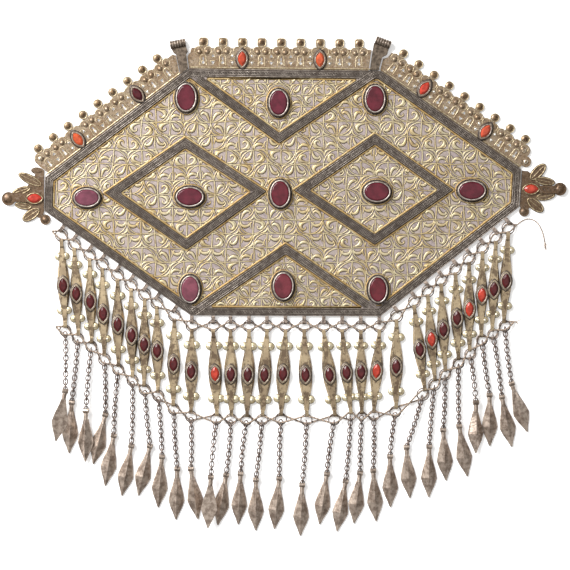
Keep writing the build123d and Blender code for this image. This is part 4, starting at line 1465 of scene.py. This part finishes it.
class ORNAMENT_OT_crests(Operator):
    """Dresses the crests and adds their outlines, bezels, knobs and bright balls"""

    bl_idname = "ornament.crests"
    bl_label = "Crests"

    def execute(self, context):
        crest_metal = gilding(
            "crest_gilding", (150, 132, 110), (134, 110, 84), (40, 30, 24), 0.35, 0.45, 1.5
        )
        rim = worn_metal("crest_wire", (214, 200, 168), (150, 130, 100), 1.4)
        ball = worn_metal("bright_ball", (250, 246, 238), (210, 200, 190), 3.0, 0.8, 0.22, 0.02, 0.55)
        knob_metal = worn_metal("crest_knob", (244, 236, 220), (190, 172, 144), 2.4, 0.9, 0.24)
        light = worn_metal("crest_bezel_rim", (190, 180, 170), (110, 100, 92), 1.3)
        bezel = worn_metal("crest_bezel", (92, 84, 80), (46, 40, 38), 1.8)
        # Painted shade: a dark disc on each knob stands in for the shade inside a pit.
        pit_shade = worn_metal("crest_pit", (120, 98, 70), (64, 46, 34), 1.4)
        wires, balls = wire_tree(), granule_tree()
        for crest in CRESTS:
            dress(crest.name, crest_metal)
            turn = crest_place(crest)
            pitch = crest.length / (CREST_KNOBS - 1)
            lines, rims, flanges, dots, knobs, pits = [], [], [], [], [], []
            for k in range(CREST_KNOBS):
                x = crest.first + pitch * k
                knob = square_round if crest.square else circle
                lines.append(knob(x, KNOB_Y, 2.45, CREST_TOP, 0.28))
                # The dark disc on the knob is painted shade of a pit.
                pits.append((x, KNOB_Y, CREST_TOP + 0.5, 1.35))
                for side in (-1, 1):
                    lines.append(oval(x + side * SHOULDER[0], SHOULDER[1], 2.25, 2.25, CREST_TOP, 0.22, 20))
                if k in CREST_STONE_KNOBS:
                    stone = flat_place(x, CREST_STONE_Y, 0)
                    wall = lens(CREST_GEM[0] + 0.7, CREST_GEM[1] + 0.4, CREST_TOP + 1.25, 0.22)
                    flange = lens(CREST_GEM[0] + 1.7, CREST_GEM[1] + 0.8, CREST_TOP + 0.75, 0.75)
                    rims += placed(stone, [wall])
                    flanges += placed(stone, [flange])
                    for dx, dy in STONE_DOTS:
                        dots.append((x + dx, dy, CREST_TOP + 0.1, 0.62))
                    continue
                lines.append(arch(x, 2.2, 3.5, 6.4, CREST_TOP, 0.3))
                lines.append(oval(x, KEYHOLE_Y, 1.1, 1.1, CREST_TOP, 0.2, 14))
                knobs += [(x + side * BOSS[0], BOSS[1], CREST_TOP + 0.35, 1.3) for side in (-1, 1)]
            for k in range(CREST_KNOBS - 1):
                x = crest.first + pitch * (k + 0.5)
                for y, r, first_turn in CUSP_OUTLINES:
                    corners = [radians(first_turn + 120 * i) for i in range(3)]
                    lines.append(
                        stroke([(x + r * cos(t), y + r * sin(t), CREST_TOP, 0.25) for t in corners], True)
                    )
            knobs += [(x, y, CREST_TOP + 0.35, 1.4) for x, y in crest.lobes]
            length = dist(crest.start, crest.end)
            lines.append(stroke([(1.0, 0.9, CREST_TOP, 0.45), (length - 1.0, 0.9, CREST_TOP, 0.45)]))
            for kind, rows, finish, flat in (
                ("wires", lines, rim, 0.7),
                ("bezel_rims", rims, light, 1.0),
                ("flanges", flanges, bezel, 0.5),
            ):
                name = f"{crest.name}_{kind}"
                values = {"Metal": finish, "Flatness": flat, "Sides": 8}
                grow(name, curve_source(name, placed(turn, rows)), wires, values)
            for kind, rows, finish, high in (
                ("balls", dots, ball, 0.8),
                ("knobs", knobs, knob_metal, 0.5),
                ("pits", pits, pit_shade, 0.22),
            ):
                name = f"{crest.name}_{kind}"
                values = {"Metal": finish, "Height": high}
                grow(name, point_source(name, placed_balls(turn, rows)), balls, values)
        return {"FINISHED"}


class ORNAMENT_OT_terminals(Operator):
    """Dresses the leafy end pieces and adds their veins"""

    bl_idname = "ornament.terminals"
    bl_label = "End pieces"

    def execute(self, context):
        metal = gilding("leaf_gilding", (114, 94, 74), (96, 74, 54), (40, 30, 24), 0.35, 0.2, 1.6)
        vein = worn_metal("leaf_vein", (206, 188, 152), (120, 100, 74), 1.4)
        wires = wire_tree()
        for node, rows in END_LEAVES.items():
            dress(node, metal)
            lines = []
            for x, y, length, width, angle in rows:
                top = CREST_TOP + 0.5
                edge = oval(0, 0, length / 2 - 0.75, width / 2 - 0.75, CREST_TOP + 0.15, 0.42, 22)
                vein_line = stroke([(-length / 2 + 1.6, 0, top, 0.25), (length / 2 - 1.6, 0, top, 0.2)])
                lines += placed(flat_place(x, y, angle), [edge, vein_line])
            x, y = END_GEM_PLACES[node]
            wall = lens(END_GEM[0] + 0.75, END_GEM[1] + 0.45, CREST_TOP + 1.25, 0.32)
            lines += placed(flat_place(x, y, 90), [wall])
            grow(
                f"{node}_veins",
                curve_source(f"{node}_veins", lines),
                wires,
                {"Metal": vein},
            )
        return {"FINISHED"}


class ORNAMENT_OT_loops(Operator):
    """Dresses the two hanging loops and adds the wire rings on their tubes"""

    bl_idname = "ornament.loops"
    bl_label = "Hanging loops"

    def execute(self, context):
        metal = worn_metal("loop_silver", (120, 106, 92), (74, 64, 54), 1.6)
        light = worn_metal("loop_wire", (206, 190, 176), (140, 124, 112), 1.6)
        rows = []
        for node, x, y, angle in LOOPS:
            dress(node, metal)
            place = Matrix.Translation((x, y, LOOP_TUBE_Z)) @ Matrix.Rotation(radians(angle), 4, "Z")
            for k in range(LOOP_RINGS):
                along_tube = LOOP_TUBE * (k / (LOOP_RINGS - 1) - 0.5)
                along_tube = min(max(along_tube, -LOOP_REACH), LOOP_REACH)
                turns = [2 * pi * i / 24 for i in range(24)]
                around = [(along_tube, LOOP_RING_R * cos(t), LOOP_RING_R * sin(t), 0.27) for t in turns]
                rows += placed(place, [stroke(around, True)])
        values = {"Metal": light}
        grow("loop_wires", curve_source("loop_wires", rows), wire_tree(), values)
        return {"FINISHED"}


class ORNAMENT_OT_spindles(Operator):
    """Dresses the spindles and adds their edge wires, knob rings, granules and bezel rims"""

    bl_idname = "ornament.spindles"
    bl_label = "Spindles"

    def execute(self, context):
        metal = spindle_finish(colours())
        rim = worn_metal("spindle_wire", (196, 180, 150), (110, 94, 72), 1.4)
        bezel = worn_metal("bezel_rim", (186, 176, 164), (120, 110, 102), 1.2)
        dark_bezel = worn_metal("dark_bezel", (116, 106, 98), (70, 62, 56), 1.8)
        knob = worn_metal("knob_gilding", (232, 222, 192), (186, 170, 134), 2.4)
        ball = worn_metal("gilt_ball", (250, 242, 222), (200, 184, 154), 3.0, 0.8, 0.22, 0.02, 0.6)
        ring_metal = worn_metal("ring_wire", (150, 136, 128), (92, 82, 76), 1.6)
        for node in ("rings_upper", "rings_lower"):
            dress(node, ring_metal)
        wires, balls = wire_tree(), granule_tree()
        for side, members in GROUPS.items():
            dress(f"spindles_{side}", metal)
            lines, seams, rims, bezels, dots, discs = [], [], [], [], [], []
            for i in members:
                hanger = HANGERS[i]
                turn = flat_place(hanger.x, hanger.y, hanger.lean)
                stretch = reach_above(hanger) / TOP_HOOK
                for sign in (-1, 1):
                    edge = []
                    for y, half, thick in STATIONS:
                        top = SPINDLE_BACK + thick
                        v = y * (stretch if y > 0 else 1)
                        edge.append((sign * RIDGE_SHARE * half * hanger.half, v, top, 0.16))
                    lines += placed(turn, [stroke(smooth(edge, 2))])
                for row in KNOB_ROWS:
                    for sign in (-1, 1):
                        y = row * (stretch if row > 0 else 1)
                        x = sign * SPINDLE_KNOB_X * hanger.half
                        r = SPINDLE_KNOB_R * hanger.half
                        discs += placed_balls(turn, [(x, y, SPINDLE_BACK + 1.3, r + 0.5)])
                        seams += placed(turn, [circle(x, y, r + 0.45, SPINDLE_BACK + 1.3, 0.2)])
                        seams += placed(turn, [circle(x, y, 1.05, SPINDLE_BACK + 1.95, 0.13)])
                        dots += placed_balls(turn, [(x, y, SPINDLE_BACK + 1.95, 0.9)])
                rims += placed(turn, [lens(SPINDLE_GEM[0] + 0.55, SPINDLE_GEM[1] + 0.38, 3.65, 0.24)])
                bezels += placed(
                    turn, [lens(SPINDLE_GEM[0] + 1.4, SPINDLE_GEM[1] + 0.85, SPINDLE_BACK + 2.6, 0.8)]
                )
            for name, rows, finish, flat in (
                (f"spindle_wires_{side}", lines, rim, 1.0),
                (f"spindle_seams_{side}", seams, dark_bezel, 1.0),
                (f"spindle_rims_{side}", rims, bezel, 1.0),
                (f"spindle_bezels_{side}", bezels, dark_bezel, 0.6),
            ):
                values = {"Metal": finish, "Flatness": flat, "Sides": 8}
                grow(name, curve_source(name, rows), wires, values)
            name = f"spindle_knobs_{side}"
            grow(name, point_source(name, discs), balls, {"Metal": knob, "Height": 0.42})
            name = f"spindle_granules_{side}"
            grow(name, point_source(name, dots), balls, {"Metal": ball})
        return {"FINISHED"}


class ORNAMENT_OT_chains(Operator):
    """Puts linked chains in the place of the plain tubes"""

    bl_idname = "ornament.chains"
    bl_label = "Chains"

    def execute(self, context):
        metal = worn_metal("chain_silver", tuple(colours().chain), (88, 76, 70), 1.2, 1.0, 0.3)
        tree = chain_tree()
        values = {
            "Pitch": sizes().link_pitch,
            "Half Length": LINK_HALF_LENGTH * MM,
            "Half Width": LINK_HALF_WIDTH * MM,
            "Wire": sizes().link_wire,
            "Metal": metal,
        }
        for side, members in GROUPS.items():
            name = f"chain_links_{side}"
            rows = [chain_line(HANGERS[i]) for i in members]
            grow(name, curve_source(name, rows), tree, values, [f"chains_{side}"])
        return {"FINISHED"}


def drop_height(u, v):
    """The height of a drop's front over its back plane, at share u of its half width and v along it."""
    for (y0, half0, ridge0), (y1, half1, ridge1) in zip(DROP_CUTS, DROP_CUTS[1:]):
        if y1 <= v <= y0:
            t = (y0 - v) / (y0 - y1)
            half = half0 + (half1 - half0) * t
            ridge = ridge0 + (ridge1 - ridge0) * t
            share = abs(u)
            if share > FLANGE_SHARE:
                return half, DROP_EDGE
            return half, ridge + (DROP_EDGE + 0.15 - ridge) * share / FLANGE_SHARE
    return 0.3, DROP_EDGE


class ORNAMENT_OT_drops(Operator):
    """Dresses the drops and adds their ridge, edge and rib lines"""

    bl_idname = "ornament.drops"
    bl_label = "Drops"

    def execute(self, context):
        metal = worn_metal("drop_silver", tuple(colours().drop), (134, 118, 106), 3.0, 1.2, 0.3, 0.1, 0.85)
        wires = wire_tree()
        for side, members in GROUPS.items():
            dress(f"drops_{side}", metal)
            lines = []
            for i in members:
                turn = drop_place(HANGERS[i])
                rows = [[], [], []]
                for v in RIDGE_REACH:
                    for row, u in zip(rows, (0.0, -0.9, 0.9)):
                        half, height = drop_height(u, v)
                        row.append((u * half, v, height, 0.22 if u == 0 else 0.16))
                lines += placed(turn, [stroke(row) for row in rows])
                if i in RIBBED_DROPS:
                    for v in RIB_REACH:
                        row = []
                        for u in (-0.8, -0.4, 0.0, 0.4, 0.8):
                            y = v - abs(u) * 1.6
                            half, height = drop_height(u, y)
                            row.append((u * half, y, height, 0.16))
                        lines += placed(turn, [stroke(row)])
            name = f"drop_lines_{side}"
            grow(name, curve_source(name, lines), wires, {"Metal": metal, "Sides": 5})
        return {"FINISHED"}


class ORNAMENT_OT_lacing(Operator):
    """Lays the two laced cords as twisted strands, and the loose end with its frayed fibres"""

    bl_idname = "ornament.lacing"
    bl_label = "Lacing"

    def execute(self, context):
        light = fibre_finish("tan_thread", (160, 132, 108))
        dark = fibre_finish("brown_thread", (70, 52, 44))
        tree = rope_tree()
        strand = sizes().strand
        values = {
            "Lay": strand * 0.8,
            "Turns": 480.0,
            "Strand": strand,
            "Light Strand": light,
            "Dark Strand": dark,
        }
        uppers = [upper_ring(row) for row in HANGERS]
        lowers = [lower_ring(row) for row in HANGERS]
        last, lowest = uppers[-1][0], lowers[-1][0]
        lead_outs = {
            "upper": toward((*THREAD_END[0], THREAD_Z), (*last, AXIS_Z), 0.35),
            "lower": (lowest[0] + LEAD_OUT[0], lowest[1] + LEAD_OUT[1], AXIS_Z + LEAD_OUT[2]),
        }
        for row, rings in (("upper", uppers), ("lower", lowers)):
            first = rings[0][0]
            lead_in = (first[0] + LEAD_IN[0], first[1] + LEAD_IN[1], AXIS_Z + LEAD_IN[2])
            cords = []
            for side in (1, -1):
                route = lacing_route(rings, lead_in, lead_outs[row], side)
                cords.append(stroke([(x, y, max(z, CORD_FLOOR), 1.0) for x, y, z in nurbs_points(route)]))
            name = f"cords_{row}"
            grow(name, curve_source(name, cords), tree, values, [f"lacing_{row}"])
        route = [(x, y, THREAD_Z) for x, y in THREAD_END]
        points = nurbs_points(route)
        name = "loose_thread"
        piece = grow(
            name,
            curve_source(name, [stroke([(*p, 1.0) for p in points])]),
            tree,
            {**values, "Lay": THREAD_LAY * MM, "Strand": THREAD_STRAND * MM},
            ["thread_end"],
        )
        [v * MM for v in route[0]]
        chooser = random.Random(11)
        fibres = []
        for x, y, heading, count in (
            THREAD_FRAY, (*lead_outs["lower"][:2], *LOWER_FRAY)
        ):
            for _ in range(count):
                angle = radians(heading + chooser.uniform(-38, 38))
                bend = chooser.uniform(-0.9, 0.9)
                length_mm = chooser.uniform(3.0, 7.0)
                z = chooser.uniform(0.3, 0.8)
                px, py = x, y
                row = []
                for k in range(FIBRE_POINTS):
                    row.append((px, py, z, 0.14 - 0.012 * k))
                    angle += bend / FIBRE_POINTS
                    px += cos(angle) * length_mm / (FIBRE_POINTS - 1)
                    py += sin(angle) * length_mm / (FIBRE_POINTS - 1)
                    z = max(0.2, z - 0.06)
                fibres.append(stroke(row))
        grow(
            "frayed_fibres",
            curve_source("frayed_fibres", fibres),
            wire_tree(),
            {"Metal": light, "Sides": 5},
        )
        return {"FINISHED"}


class ORNAMENT_PT_panel(Panel):
    bl_idname = "ORNAMENT_PT_panel"
    bl_label = "Chest ornament"
    bl_space_type = "VIEW_3D"
    bl_region_type = "UI"
    bl_category = "Ornament"

    def draw(self, context):
        for group in (
            context.scene.ornament_sizes, context.scene.ornament_colours, context.scene.ornament_stage
        ):
            box = self.layout.box()
            for key in group.bl_rna.properties.keys():
                if key not in ("rna_type", "name"):
                    box.prop(group, key)
        for step in STEPS:
            self.layout.operator(step.bl_idname)


STEPS = (
    ORNAMENT_OT_stage,
    ORNAMENT_OT_lacing,
    ORNAMENT_OT_plate,
    ORNAMENT_OT_scrollwork,
    ORNAMENT_OT_stones,
    ORNAMENT_OT_crests,
    ORNAMENT_OT_terminals,
    ORNAMENT_OT_loops,
    ORNAMENT_OT_spindles,
    ORNAMENT_OT_chains,
    ORNAMENT_OT_drops,
)
SETTINGS = {
    "ornament_sizes": OrnamentSizes,
    "ornament_colours": OrnamentColours,
    "ornament_stage": OrnamentStage,
}


def register():
    for kind in (*SETTINGS.values(), *STEPS, ORNAMENT_PT_panel):
        bpy.utils.register_class(kind)
    for key, kind in SETTINGS.items():
        setattr(bpy.types.Scene, key, PointerProperty(type=kind))


def unregister():
    for key in SETTINGS:
        delattr(bpy.types.Scene, key)
    for kind in reversed((*SETTINGS.values(), *STEPS, ORNAMENT_PT_panel)):
        bpy.utils.unregister_class(kind)


def main():
    register()
    bpy.ops.ornament.stage()
    bpy.ops.ornament.lacing()
    bpy.ops.ornament.plate()
    bpy.ops.ornament.scrollwork()
    bpy.ops.ornament.stones()
    bpy.ops.ornament.crests()
    bpy.ops.ornament.terminals()
    bpy.ops.ornament.loops()
    bpy.ops.ornament.spindles()
    bpy.ops.ornament.chains()
    bpy.ops.ornament.drops()


if __name__ == "__main__":
    main()
